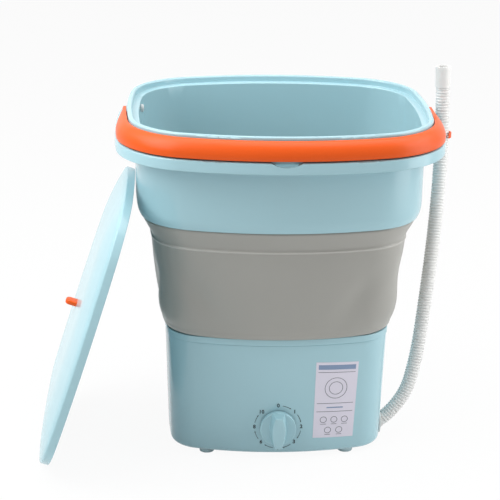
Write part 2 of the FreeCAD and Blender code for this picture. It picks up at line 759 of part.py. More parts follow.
def handle_section(taper):
    """Section of the handle. Taper 1, at the pins, draws its foot and its bulge in towards the rim."""
    foot = LIP_HALF_WIDTH - HANDLE_FOOT_INSET - HANDLE_TAPER * taper
    top_width = LIP_HALF_WIDTH - HANDLE_TOP_INSET
    top = z_handle + HANDLE_HEIGHT
    bulge = HANDLE_BULGE + (HANDLE_PIN_BULGE - HANDLE_BULGE) * taper
    run = math.hypot(foot - top_width, HANDLE_HEIGHT)
    out_x = bulge * HANDLE_HEIGHT / run
    out_z = bulge * (foot - top_width) / run
    via = ((foot + top_width) / 2 + out_x, z_pivot + out_z)
    wall = HANDLE_WALL
    return [
        (foot, z_handle),
        (top_width, top, 0, via),
        (top_width - wall, top),
        (top_width - wall, top - wall),
        (foot - wall, z_handle, 0, (via[0] - wall * 0.9, via[1] - wall * 0.7)),
    ]


def handle_arm():
    """Right arm, from the handle's corner to its pin."""
    x, y, radius, start, _ = SECTORS["right"]
    shift = radius - LIP_HALF_WIDTH
    wires = []
    for step in range(HANDLE_ARM_STEPS + 1):
        share = step / HANDLE_ARM_STEPS
        wire = rounded_loop(handle_section(share ** 2), lambda p: V(p.x + shift, 0, p.y))
        wire.rotate(V(0, 0, 0), UP, start * (1 - share))
        wire.translate(V(x, y, 0))
        wires.append(wire)
    return Part.makeLoft(wires, True, False)


def handle_end():
    """Round end of the right arm, with the boss and the pin that turns in the tub's boss."""
    x, y, radius, _, _ = SECTORS["right"]
    inner = LIP_HALF_WIDTH - HANDLE_TOP_INSET - HANDLE_WALL
    web = LIP_HALF_WIDTH - HANDLE_TOP_INSET
    tail = math.degrees(HANDLE_HEIGHT / 2 / radius)
    eye = rod(HANDLE_HEIGHT / 2, V(inner - 2, 0, z_pivot), V(LIP_HALF_WIDTH + 2, 0, z_pivot))
    end = ring(handle_section(1), [(x, y, radius, 0, tail)]).common(eye)
    boss = rod(HANDLE_HEIGHT / 2 - 1.5, V(inner, 0, z_pivot), V(web, 0, z_pivot))
    pin = rod(HANDLE_PIN_RADIUS, V(w_tub_top + CLEAR, 0, z_pivot), V(inner, 0, z_pivot))
    return [end, boss, pin]


def handle():
    bail = ring(handle_section(0), [SECTORS["front"], SECTORS["front_right"], SECTORS["front_left"]])
    right = [handle_arm()] + handle_end()
    left = [solid.mirror(V(0, 0, 0), ALONG_X) for solid in right]
    return fused([bail] + right + left)


# Lid and its handle, made flat and then leaned against the tub

def lean(shape):
    """Stand a flat lid piece on its end and lean it against the tub's left wall."""
    angle = math.radians(LID_LEAN)
    top_height = 2 * w_lid * math.cos(angle)
    # The lid's bowed edge and the bowed wall are nearest between their two middles
    share = math.sin(angle) / (1 + math.sin(angle))
    wall = side_x(outside_half_width(top_height), LID_SHIFT_Y * math.sqrt(share))
    x = -wall - CLEAR - w_lid * math.sin(angle)
    z = w_lid * math.cos(angle) + LID_FLOOR_GAP
    placed = shape.copy()
    placed.rotate(V(0, 0, 0), V(0, -1, 0), 90 - LID_LEAN)
    placed.translate(V(x, LID_SHIFT_Y, z))
    return placed


def lid():
    flat = LIP_HALF_WIDTH - LID_FLAT_INSET
    edge = w_lid - LID_EDGE
    inner_edge = w_lid - LID_WALL

    def crown_height(half_width, outer_edge, low, high):
        share = (half_width - flat) / (outer_edge - flat)
        return high - (high - low) * share ** 2

    high = LID_SKIRT + LID_CROWN
    middle = (flat + edge) / 2
    inner_low = LID_SKIRT - LID_WALL
    section = [
        (w_lid, 0, 0.6),
        (w_lid, LID_SKIRT - LID_EDGE, LID_EDGE / 2),
        (edge, LID_SKIRT),
        (flat, high, 0, (middle, crown_height(middle, edge, LID_SKIRT, high))),
        (flat, high - LID_WALL),
        (inner_edge - LID_EDGE, inner_low, 0,
         (middle, crown_height(middle, edge, LID_SKIRT, high) - LID_WALL)),
        (inner_edge, inner_low - LID_EDGE, LID_EDGE / 2),
        (inner_edge, 0, 0.6),
    ]
    return lean(fused([ring(section), slab(flat, high - LID_WALL, high)]))


def lid_handle():
    """Small finger tab with a round top."""
    seat = LID_SKIRT + LID_CROWN
    half = LID_HANDLE_SPAN / 2
    top = seat + LID_HANDLE_RISE
    section = [
        (-half, seat),
        (half, seat),
        (half, top, LID_HANDLE_ROUND),
        (-half, top, LID_HANDLE_ROUND),
    ]
    start = LID_HANDLE_OFFSET - LID_HANDLE_WIDTH / 2
    tab = Part.Face(rounded_loop(section, lambda p: V(start, p.x, p.y))).extrude(V(LID_HANDLE_WIDTH, 0, 0))
    outline = [edge for edge in tab.Edges
               if edge.BoundBox.XLength < 1e-6 and edge.BoundBox.ZMax > seat + 1e-6]
    return lean(tab.makeFillet(LID_HANDLE_EDGE, outline))


# Drain: strainer, elbow, outlet, hose, cuff and clip

def drain_strainer():
    cap = cylinder(STRAINER_RADIUS, z_floor, z_floor + 2, drain_x, DRAIN_Y)
    cap = cap.makeFillet(1.2, flat_edges(cap, z_floor + 2))
    skirt_radius = DRAIN_HOLE_RADIUS - SLIP
    skirt = tube(skirt_radius, skirt_radius - 1.5, z_floor_under - 4, z_floor, drain_x, DRAIN_Y)
    body = fused([cap, skirt])
    holes = [cylinder(1.5, z_floor - 1, z_floor + 3, drain_x, DRAIN_Y)]
    for count, circle in ((6, 4.4), (12, 8.8)):
        for step in range(count):
            angle = 2 * math.pi * step / count
            holes.append(cylinder(1.5, z_floor - 1, z_floor + 3, drain_x + circle * math.cos(angle),
                                  DRAIN_Y + circle * math.sin(angle)))
    return body.cut(holes)


def drain_elbow():
    """Pipe from under the sump, round a bend, to the outlet in the side."""
    top = V(drain_x, outlet_knee.y, z_floor_under - SUMP_DEPTH)
    corner = V(drain_x, outlet_knee.y, outlet_knee.z)
    bend = PIPE_BEND_RADIUS
    bend_top = corner + UP * bend
    bend_end = corner + ALONG_X * bend
    diagonal = bend * (1 - math.sqrt(0.5))
    via = corner + UP * diagonal + ALONG_X * diagonal
    path = Part.Wire([
        Part.LineSegment(top, bend_top).toShape(),
        Part.Arc(bend_top, via, bend_end).toShape(),
    ])

    def swept(radius):
        circle = Part.Wire(Part.Circle(top, UP, radius).toShape())
        return path.makePipeShell([circle], True, False)

    return swept(PIPE_RADIUS).cut(swept(PIPE_BORE_RADIUS))


def hose_outlet():
    inner_end = V(drain_x + PIPE_BEND_RADIUS, outlet_knee.y, outlet_knee.z)
    wall = V(side_x(base_half_width(outlet_knee.z), outlet_knee.y), outlet_knee.y, outlet_knee.z)
    outward = V(wall.x - SECTORS["right"][0], wall.y, 0).normalize()
    outward = (outward - UP * (BASE_FLARE / BASE_HEIGHT)).normalize()
    flange_start = wall + outward * SEAM
    flange = rod(OUTLET_FLANGE_RADIUS, flange_start, flange_start + outward * OUTLET_FLANGE_THICKNESS)
    hose_room = rod(HOSE_RADIUS + CLEAR, hose_start, hose_start + hose_direction * OUTLET_FLANGE_RADIUS)
    solids = [
        rod(PIPE_RADIUS, inner_end, outlet_knee),
        Part.makeSphere(PIPE_RADIUS, outlet_knee),
        rod(PIPE_RADIUS, outlet_knee, hose_start),
        flange.cut(hose_room),
    ]
    body = fused(solids)
    bores = [
        rod(PIPE_BORE_RADIUS, inner_end - ALONG_X, outlet_knee),
        Part.makeSphere(PIPE_BORE_RADIUS, outlet_knee),
        rod(PIPE_BORE_RADIUS, outlet_knee, hose_start + hose_direction),
    ]
    return body.cut(fused(bores))


def rounded_route(points):
    """Straight runs joined by arcs as large as the runs allow. Returns pieces that can be
    measured along: (length, point at, direction at), and the least bend radius."""
    pieces = []
    radii = []
    start = points[0]
    for index in range(1, len(points) - 1):
        here = points[index]
        back = points[index - 1] - here
        ahead = points[index + 1] - here
        reach = BEND_SHARE * min(back.Length, ahead.Length)
        back.normalize()
        ahead.normalize()
        turn = math.pi - back.getAngle(ahead)
        radius = reach / math.tan(turn / 2)
        radii.append(radius)
        enter = here + back * reach
        pieces.append(("run", start, enter))
        centre = here + (back + ahead).normalize() * (radius / math.cos(turn / 2))
        pieces.append(("bend", centre, enter - centre, back * -1, radius, turn))
        start = here + ahead * reach
    pieces.append(("run", start, points[-1]))
    return pieces, min(radii)


def route_length(pieces):
    total = 0.0
    for piece in pieces:
        total += (piece[2] - piece[1]).Length if piece[0] == "run" else piece[4] * piece[5]
    return total


def route_at(pieces, distance):
    """Point and direction at a distance along a rounded route."""
    for piece in pieces:
        if piece[0] == "run":
            length = (piece[2] - piece[1]).Length
            direction = (piece[2] - piece[1]).normalize()
            if distance <= length + 1e-9 or piece is pieces[-1]:
                return piece[1] + direction * distance, direction
        else:
            _, centre, arm, forward, radius, turn = piece
            length = radius * turn
            if distance <= length:
                angle = distance / radius
                arm_direction = V(arm).normalize()
                point = centre + arm_direction * radius * math.cos(angle) + forward * radius * math.sin(angle)
                return point, forward * math.cos(angle) - arm_direction * math.sin(angle)
        distance -= length
    return None


def ring_wire(point, direction, radius):
    """Circle square to the route, with its seam kept on one side so that a loft doesn't twist."""
    seam = (ALONG_X - direction * direction.dot(ALONG_X)).normalize()
    placement = FreeCAD.Placement(point, FreeCAD.Rotation(seam, V(0, 0, 0), direction, "ZXY"))
    circle = Part.Circle(V(0, 0, 0), UP, radius).toShape()
    circle.Placement = placement
    return Part.Wire(circle)


def drain_hose():
    """Ribbed hose with its bore, from the outlet to the foot of the cuff."""
    pieces, least = rounded_route(hose_points)
    length = route_length(pieces)
    ribs = int((length - 2 * HOSE_RADIUS * 0.5) / RIB_PITCH)
    margin = (length - ribs * RIB_PITCH) / 2
    print("hose length %.1f mm, %d ribs, least bend radius %.1f mm" % (length, ribs, least))
    stations = [(0.0, HOSE_ROOT_RADIUS)]
    for rib in range(ribs):
        start = margin + rib * RIB_PITCH
        for share, radius in RIB_PROFILE:
            stations.append((start + share * RIB_PITCH, radius))
    stations.append((length, HOSE_ROOT_RADIUS))
    outer_wires = [ring_wire(*route_at(pieces, at), radius) for at, radius in stations]
    bore_stations = stations[::4] + stations[-1:]
    inner_wires = [ring_wire(*route_at(pieces, at), HOSE_BORE_RADIUS) for at, _ in bore_stations]
    outer = Part.makeLoft(outer_wires, False, True)
    inner = Part.makeLoft(inner_wires, False, True)
    ends = [Part.Face([outer_wires[0], inner_wires[0]]), Part.Face([outer_wires[-1], inner_wires[-1]])]
    shell = Part.makeShell(outer.Faces + inner.Faces + ends)
    shell.sewShape()
    solid = Part.Solid(shell)
    if solid.Volume < 0:
        solid.reverse()
    return solid


def hose_cuff():
    """Smooth end of the hose with a small lip."""
    start = hose_points[-1]
    direction = (hose_points[-1] - hose_points[-2]).normalize()
    end = start + direction * CUFF_LENGTH
    lip = end - direction * CUFF_LIP_HEIGHT
    body = fused([rod(CUFF_RADIUS, start, end), rod(CUFF_LIP_RADIUS, lip, end)])
    return body.cut(rod(CUFF_BORE_RADIUS, start - direction, end + direction))


def clip_point():
    """Point on the hose's route at the height of the clip."""
    pieces, _ = rounded_route(hose_points)
    wanted = z_lip - CLIP_DROP - CLIP_HEIGHT / 2
    low, high = 0.0, route_length(pieces)
    for _ in range(50):
        middle = (low + high) / 2
        if route_at(pieces, middle)[0].z < wanted:
            low = middle
        else:
            high = middle
    return route_at(pieces, low)[0]


def hose_clip():
    """Open ring round the hose on an arm from the tub's wall."""
    at = clip_point()
    bottom, top = at.z - CLIP_HEIGHT / 2, at.z + CLIP_HEIGHT / 2
    inner = HOSE_RADIUS + CLIP_CLEARANCE
    outer = inner + CLIP_WALL
    band = cylinder(outer, bottom, top, at.x, at.y)
    arm_y = at.y + inner * 0.55
    wall_x = side_x(tub_half_width(at.z), arm_y)
    arm = block(wall_x, at.x, arm_y - CLIP_ARM_WIDTH / 2, arm_y + CLIP_ARM_WIDTH / 2, bottom, top)
    pad_low, pad_high = arm_y - CLIP_PAD_WIDTH / 2, arm_y + CLIP_PAD_WIDTH / 2
    pad = block(wall_x - 4, wall_x + CLIP_PAD_THICKNESS, pad_low, pad_high, bottom - 2, top + 2)
    body = fused([band, arm, pad])
    hollow = cylinder(inner, bottom - 1, top + 1, at.x, at.y)
    mouth = block(at.x - CLIP_MOUTH / 2, at.x + CLIP_MOUTH / 2, at.y - outer - 1, at.y, bottom - 1, top + 1)
    wall = slab(tub_half_width(top + 2) + SLIP, bottom - 3, top + 3)
    return body.cut([hollow, mouth, wall]).removeSplitter().Solids[0]


# Drive

z_upper_bearing = z_floor_under - BEARING_WIDTH - 6
z_lower_bearing = z_upper_bearing - BEARING_SPACING
z_pulley = z_plate_top + PULLEY_LIFT
pulley_height = GROOVE_WIDTH + 2 * PULLEY_FLANGE
z_pulsator = z_floor + PULSATOR_GAP
z_shaft_top = z_pulsator + PULSATOR_HUB_HEIGHT - 3
z_motor_plate = z_floor_under - MOTOR_BOSS_HEIGHT - MOTOR_PLATE
z_motor = z_pulley + pulley_height + MOTOR_PULLEY_GAP
z_rotor = z_motor + 2 * MOTOR_WALL + ROTOR_END_GAP
z_rotor_top = z_motor_plate - ROTOR_END_GAP


def bearing(bottom):
    """Ball bearing as two races with a shield between them."""
    inner_race = SHAFT_RADIUS + 2.2
    outer_race = BEARING_RADIUS - 2.2
    section = [
        (SHAFT_RADIUS + RUN, bottom),
        (inner_race, bottom),
        (inner_race, bottom + 0.6),
        (outer_race, bottom + 0.6),
        (outer_race, bottom),
        (BEARING_RADIUS, bottom, 0.4),
        (BEARING_RADIUS, bottom + BEARING_WIDTH, 0.4),
        (outer_race, bottom + BEARING_WIDTH),
        (outer_race, bottom + BEARING_WIDTH - 0.6),
        (inner_race, bottom + BEARING_WIDTH - 0.6),
        (inner_race, bottom + BEARING_WIDTH),
        (SHAFT_RADIUS + RUN, bottom + BEARING_WIDTH),
    ]
    return turned(section)


def shaft_seal():
    bottom = z_upper_bearing + BEARING_WIDTH + SLIP
    top = bottom + SEAL_HEIGHT
    section = [
        (SHAFT_RADIUS + RUN, bottom + 2),
        (SHAFT_RADIUS + RUN, bottom + 4),
        (SHAFT_RADIUS + 2.5, top),
        (BEARING_RADIUS, top, 0.6),
        (BEARING_RADIUS, bottom),
        (SHAFT_RADIUS + 2.5, bottom),
    ]
    return turned(section)


def drive_shaft():
    bottom = z_pulley - NUT_HEIGHT - 2
    shaft = cylinder(SHAFT_RADIUS, bottom, z_shaft_top)
    return shaft.cut(cylinder(SCREW_RADIUS + SLIP, z_shaft_top - 14, z_shaft_top + 1))


def pulley_section(groove, bore, bottom):
    rim = groove + GROOVE_DEPTH
    top = bottom + pulley_height
    return [
        (bore, bottom),
        (rim, bottom, 0.5),
        (rim, bottom + PULLEY_FLANGE, 0.4),
        (groove, bottom + PULLEY_FLANGE),
        (groove, bottom + PULLEY_FLANGE + GROOVE_WIDTH),
        (rim, top - PULLEY_FLANGE, 0.4),
        (rim, top, 0.5),
        (bore, top),
    ]


def driven_pulley():
    """Large grooved wheel with a hub that reaches up to the lower bearing."""
    bore = SHAFT_RADIUS + RUN
    wheel = turned(pulley_section(PULLEY_GROOVE_RADIUS, bore, z_pulley))
    hub = tube(PULLEY_HUB_RADIUS - 2, bore, z_pulley, z_lower_bearing - SLIP)
    top = z_pulley + pulley_height
    web = z_pulley + pulley_height / 2
    dish = tube(PULLEY_GROOVE_RADIUS - 4, PULLEY_HUB_RADIUS, web + 2, top + 1)
    under = tube(PULLEY_GROOVE_RADIUS - 4, PULLEY_HUB_RADIUS, z_pulley - 1, web - 2)
    windows = []
    for step in range(5):
        angle = 2 * math.pi * step / 5
        circle = (PULLEY_GROOVE_RADIUS - 4 + PULLEY_HUB_RADIUS) / 2
        x, y = circle * math.cos(angle), circle * math.sin(angle)
        windows.append(cylinder(6.5, z_pulley - 1, top + 1, x, y))
    return fused([wheel.cut([dish, under] + windows), hub])


def pulley_nut():
    radius = NUT_ACROSS_FLATS / math.sqrt(3)
    bottom = z_pulley - NUT_HEIGHT
    turns = [math.pi * step / 3 for step in range(7)]
    corners = [V(radius * math.cos(turn), radius * math.sin(turn), bottom) for turn in turns]
    nut = Part.Face(Part.makePolygon(corners)).extrude(V(0, 0, NUT_HEIGHT - SLIP))
    return nut.cut(cylinder(SHAFT_RADIUS + RUN, bottom - 1, z_pulley + 1))


def belt_face(extra, height):
    """Filled outline of the belt, a distance outside both grooves."""
    large = PULLEY_GROOVE_RADIUS + extra
    small = MOTOR_PULLEY_GROOVE_RADIUS + extra
    line = V(MOTOR_X, MOTOR_Y, 0)
    towards = math.atan2(MOTOR_Y, MOTOR_X)
    lap = math.acos((large - small) / line.Length)

    def on(centre, radius, angle):
        return V(centre.x + radius * math.cos(angle), centre.y + radius * math.sin(angle), height)

    zero = V(0, 0, 0)
    edges = [
        Part.LineSegment(on(zero, large, towards - lap), on(line, small, towards - lap)).toShape(),
        Part.Arc(on(line, small, towards - lap), on(line, small, towards),
                 on(line, small, towards + lap)).toShape(),
        Part.LineSegment(on(line, small, towards + lap), on(zero, large, towards + lap)).toShape(),
        Part.Arc(on(zero, large, towards + lap), on(zero, large, towards + math.pi),
                 on(zero, large, towards - lap)).toShape(),
    ]
    return Part.Face(Part.Wire(edges))


def drive_belt():
    height = z_pulley + PULLEY_FLANGE + (GROOVE_WIDTH - BELT_WIDTH) / 2
    outer = belt_face(CLEAR + BELT_THICKNESS, height).extrude(V(0, 0, BELT_WIDTH))
    return outer.cut(belt_face(CLEAR, height - 1).extrude(V(0, 0, BELT_WIDTH + 2)))


def pulsator():
    """Ribbed disc that stirs the water."""
    hub_top = z_pulsator + PULSATOR_HUB_HEIGHT
    rim_top = z_pulsator + PULSATOR_RIM
    section = [
        (SHAFT_RADIUS + RUN, z_pulsator),
        (PULSATOR_RADIUS, z_pulsator, 1.0),
        (PULSATOR_RADIUS, rim_top, 1.5),
        (PULSATOR_RADIUS - 7, rim_top, 3.0),
        (PULSATOR_HUB_RADIUS + 10, rim_top + 4, 8.0),
        (PULSATOR_HUB_RADIUS, hub_top, 4.0),
        (SCREW_RADIUS + SLIP, hub_top),
        (SCREW_RADIUS + SLIP, z_shaft_top + SLIP),
        (SHAFT_RADIUS + RUN, z_shaft_top + SLIP),
    ]
    solids = [turned(section)]

    def vane_wire(radius, width, height):
        half = width / 2
        low = z_pulsator + 1
        side_top = low + (height - low) * 0.55
        edges = [
            Part.LineSegment(V(radius, -half, low), V(radius, half, low)).toShape(),
            Part.LineSegment(V(radius, half, low), V(radius, half * 0.8, side_top)).toShape(),
            Part.Arc(V(radius, half * 0.8, side_top), V(radius, 0, height),
                     V(radius, -half * 0.8, side_top)).toShape(),
            Part.LineSegment(V(radius, -half * 0.8, side_top), V(radius, -half, low)).toShape(),
        ]
        return Part.Wire(edges)

    inner = vane_wire(PULSATOR_HUB_RADIUS * 0.7, PULSATOR_VANE_WIDTH, hub_top - 2.5)
    outer = vane_wire(PULSATOR_RADIUS - 4, PULSATOR_VANE_WIDTH * 0.6, rim_top + 3.5)
    vane = Part.makeLoft([inner, outer], True, True)
    holes = []
    for step in range(PULSATOR_VANES):
        turned_vane = vane.copy()
        turned_vane.rotate(V(0, 0, 0), UP, 360 / PULSATOR_VANES * step)
        solids.append(turned_vane)
        for hole in range(PULSATOR_HOLES):
            spread = 360 / PULSATOR_VANES / (PULSATOR_HOLES + 2)
            angle = math.radians(360 / PULSATOR_VANES * step + spread * (hole + 1.5))
            circle = PULSATOR_RADIUS * (0.72 if hole % 2 else 0.56)
            holes.append(cylinder(PULSATOR_HOLE_RADIUS, z_pulsator - 1, hub_top, circle * math.cos(angle),
                                  circle * math.sin(angle)))
    body = fused(solids)
    bore = cylinder(SHAFT_RADIUS + RUN, z_pulsator - 1, z_shaft_top + SLIP)
    return body.cut(holes + [bore]).removeSplitter().Solids[0]


def pulsator_screw():
    return screw(0, 0, z_pulsator + PULSATOR_HUB_HEIGHT, 12, head_up=True)


# Motor

def motor_can():
    can = cylinder(MOTOR_RADIUS, z_motor, z_motor_plate, MOTOR_X, MOTOR_Y)
    can = can.makeFillet(3.0, flat_edges(can, z_motor))
    hollow = cylinder(MOTOR_RADIUS - MOTOR_WALL, z_motor + 2 * MOTOR_WALL, z_motor_plate + 1,
                      MOTOR_X, MOTOR_Y)
    vent_low, vent_high = z_motor_plate - 14, z_motor_plate - 5
    bush = cylinder(MOTOR_SHAFT_RADIUS + RUN, z_motor - 1, z_motor_plate, MOTOR_X, MOTOR_Y)
    vents = []
    for step in range(12):
        vent = block(MOTOR_RADIUS - 2 * MOTOR_WALL, MOTOR_RADIUS + 1, -1.6, 1.6, vent_low, vent_high)
        vent.rotate(V(0, 0, 0), UP, 15 + 30 * step)
        vent.translate(V(MOTOR_X, MOTOR_Y, 0))
        vents.append(vent)
    return can.cut([hollow, bush] + vents)


def motor_plate():
    top = z_motor_plate + MOTOR_PLATE
    solids = [cylinder(MOTOR_RADIUS, z_motor_plate, top, MOTOR_X, MOTOR_Y)]
    solids += [cylinder(MOTOR_LUG_RADIUS, z_motor_plate, top, x, y) for x, y in motor_lug_places()]
    for step in range(4):
        arm = block(0, MOTOR_LUG_CIRCLE, -MOTOR_LUG_RADIUS, MOTOR_LUG_RADIUS, z_motor_plate, top)
        arm.rotate(V(0, 0, 0), UP, 45 + 90 * step)
        arm.translate(V(MOTOR_X, MOTOR_Y, 0))
        solids.append(arm)
    plate = fused(solids)
    cuts = [cylinder(SCREW_RADIUS + SLIP, z_motor_plate - 1, top + 1, x, y) for x, y in motor_lug_places()]
    cuts.append(cylinder(MOTOR_SHAFT_RADIUS + RUN, z_motor_plate - 1, top - 1, MOTOR_X, MOTOR_Y))
    return plate.cut(cuts)


def motor_stator():
    outer = MOTOR_RADIUS - MOTOR_WALL - SLIP
    return tube(outer, ROTOR_RADIUS + AIR_GAP, z_rotor, z_rotor_top, MOTOR_X, MOTOR_Y)


def motor_rotor():
    return tube(ROTOR_RADIUS, MOTOR_SHAFT_RADIUS + RUN, z_rotor, z_rotor_top, MOTOR_X, MOTOR_Y)


def motor_shaft():
    top = z_motor_plate + MOTOR_PLATE - 1 - SLIP
    return cylinder(MOTOR_SHAFT_RADIUS, z_pulley - 1, top, MOTOR_X, MOTOR_Y)


def motor_pulley():
    section = pulley_section(MOTOR_PULLEY_GROOVE_RADIUS, MOTOR_SHAFT_RADIUS + RUN, z_pulley)
    return turned(section, MOTOR_X, MOTOR_Y)


def motor_screws():
    return group([screw(x, y, z_motor_plate, SCREW_LENGTH - 2) for x, y in motor_lug_places()])


# Timer and dial

panel_y = front_y(base_half_width(z_dial), 0)
timer_front = front_y(base_half_width(z_dial - TIMER_WIDTH / 2) - BASE_WALL, TIMER_WIDTH / 2) + CLEAR
knob_back = panel_y - KNOB_STANDOFF
knob_face = knob_back - KNOB_DISC


def timer_body():
    half = TIMER_WIDTH / 2
    back = timer_front + TIMER_DEPTH
    body = block(-half, half, timer_front, back, z_dial - half, z_dial + half)
    upright = [edge for edge in body.Edges if edge.BoundBox.YLength > TIMER_DEPTH - 1]
    body = body.makeFillet(4.0, upright)
    nose = rod(TIMER_SHAFT_RADIUS + 1.2, V(0, panel_y + 0.5, z_dial), V(0, timer_front, z_dial))
    terminals = []
    for x in (-9, 0, 9):
        terminals.append(block(x - 3, x + 3, back, back + 6, z_dial + 6, z_dial + 7))
    body = fused([body, nose] + terminals)
    holes = [rod(TIMER_SHAFT_RADIUS + RUN, V(0, panel_y - 1, z_dial), V(0, timer_front + 16, z_dial))]
    for x in (-TIMER_SCREW_SPREAD / 2, TIMER_SCREW_SPREAD / 2):
        holes.append(rod(SCREW_RADIUS + SLIP, V(x, panel_y - 1, z_dial), V(x, timer_front + 10, z_dial)))
    return body.cut(holes)


def timer_screws():
    screws = []
    for x in (-TIMER_SCREW_SPREAD / 2, TIMER_SCREW_SPREAD / 2):
        seat = front_y(base_half_width(z_dial), x) - CLEAR
        one = screw(0, 0, 0, SCREW_LENGTH)
        one.rotate(V(0, 0, 0), ALONG_X, -90)
        one.translate(V(x, seat, z_dial))
        screws.append(one)
    return group(screws)


def timer_shaft():
    return rod(TIMER_SHAFT_RADIUS, V(0, knob_face + 1.5, z_dial), V(0, timer_front + 15, z_dial))


def timer_knob():
    """Round disc with a waisted grip across it."""
    disc = rod(KNOB_RADIUS, V(0, knob_back, z_dial), V(0, knob_face, z_dial))
    rim = [edge for edge in disc.Edges if edge.BoundBox.YLength < 1e-6
           and abs(edge.BoundBox.YMin - knob_face) < 1e-6]
    disc = disc.makeFillet(1.2, rim)

    def grip_wire(y, narrower, shorter):
        top = KNOB_RADIUS - 0.6 - shorter
        foot = -KNOB_RADIUS + 0.6 + shorter
        widths = [size / 2 - narrower for size in (KNOB_GRIP_TOP, KNOB_GRIP_MIDDLE, KNOB_GRIP_FOOT)]

        def at(x, z):
            return V(x, y, z_dial + z)

        sides = [
            Part.LineSegment(at(-widths[0], top), at(widths[0], top)).toShape(),
            Part.Arc(at(widths[0], top), at(widths[1], 0), at(widths[2], foot)).toShape(),
            Part.LineSegment(at(widths[2], foot), at(-widths[2], foot)).toShape(),
            Part.Arc(at(-widths[2], foot), at(-widths[1], 0), at(-widths[0], top)).toShape(),
        ]
        return Part.Wire(sides)

    grip_face = knob_face - KNOB_GRIP
    grip_foot = grip_wire(knob_face + 1, 0, 0)
    grip_crown = grip_wire(grip_face, KNOB_BEVEL, KNOB_BEVEL / 2)
    grip = Part.makeLoft([grip_foot, grip_crown], True, True)
    front = [edge for edge in grip.Edges if edge.BoundBox.YMax < grip_face + 1e-6]
    grip = grip.makeFillet(1.4, front)
    body = fused([disc, grip])
    hollow = rod(KNOB_RADIUS - 3, V(0, knob_back + 1, z_dial), V(0, knob_back - KNOB_DISC + 2.4, z_dial))
    socket = rod(TIMER_SHAFT_RADIUS + 2.4, V(0, knob_back, z_dial), V(0, knob_face, z_dial))
    bore = rod(TIMER_SHAFT_RADIUS + RUN, V(0, knob_back + 1, z_dial), V(0, knob_face + 1.5 - SLIP, z_dial))
    return fused([body.cut(hollow), socket]).cut(bore)


# Mains inlet, capacitor and leads

inlet_top = z_dial + INLET_HEIGHT / 2 + INLET_FLANGE
inlet_y = LIP_HALF_DEPTH - (LIP_HALF_WIDTH - base_half_width(inlet_top)) + CLEAR


def power_inlet():
    """Two-pin socket in the back of the base."""
    half = INLET_WIDTH / 2
    rise = INLET_HEIGHT / 2
    body = block(-half, half, inlet_y - INLET_DEPTH, inlet_y + 1, z_dial - rise, z_dial + rise)
    flange = block(-half - INLET_FLANGE, half + INLET_FLANGE, inlet_y, inlet_y + INLET_FLANGE_THICKNESS,
                   z_dial - rise - INLET_FLANGE, z_dial + rise + INLET_FLANGE)
    upright = [edge for edge in flange.Edges if edge.BoundBox.YLength > INLET_FLANGE_THICKNESS - 0.1]
    flange = flange.makeFillet(3.0, upright)
    body = fused([body, flange])
    mouth = inlet_y + INLET_FLANGE_THICKNESS + 1
    bottom = inlet_y - INLET_DEPTH + INLET_SOCKET_BACK
    across, up = INLET_SOCKET_WIDTH / 2, INLET_SOCKET_HEIGHT / 2
    recess = block(-across, across, bottom, mouth, z_dial - up, z_dial + up)
    pins = []
    for x in (-INLET_PIN_SPACING / 2, INLET_PIN_SPACING / 2):
        pin_end = V(x, inlet_y - INLET_PIN_SETBACK, z_dial)
        pins.append(rod(INLET_PIN_RADIUS, V(x, bottom - 1, z_dial), pin_end))
    return fused([body.cut(recess)] + pins)


def run_capacitor():
    can = cylinder(CAPACITOR_RADIUS, z_plate_top, z_plate_top + CAPACITOR_LENGTH, CAPACITOR_X, CAPACITOR_Y)
    top = z_plate_top + CAPACITOR_LENGTH
    can = can.makeFillet(2.0, flat_edges(can, top))
    tabs = []
    for x in (CAPACITOR_X - 6, CAPACITOR_X + 6):
        tabs.append(block(x - 3, x + 3, CAPACITOR_Y - 0.4, CAPACITOR_Y + 0.4, top, top + 9))
    return fused([can] + tabs)


def lead(route):
    """Round lead along straight runs joined by arcs."""
    points = [V(*point) for point in route]
    pieces, _ = rounded_route(points)
    edges = []
    for piece in pieces:
        if piece[0] == "run":
            edges.append(Part.LineSegment(piece[1], piece[2]).toShape())
        else:
            _, centre, arm, forward, radius, turn = piece
            unit = V(arm).normalize()

            def on_bend(angle):
                return centre + unit * radius * math.cos(angle) + forward * radius * math.sin(angle)

            edges.append(Part.Arc(on_bend(0), on_bend(turn / 2), on_bend(turn)).toShape())
    path = Part.Wire(edges)
    start = Part.Wire(Part.Circle(points[0], points[1] - points[0], LEAD_RADIUS).toShape())
    return path.makePipeShell([start], True, False)


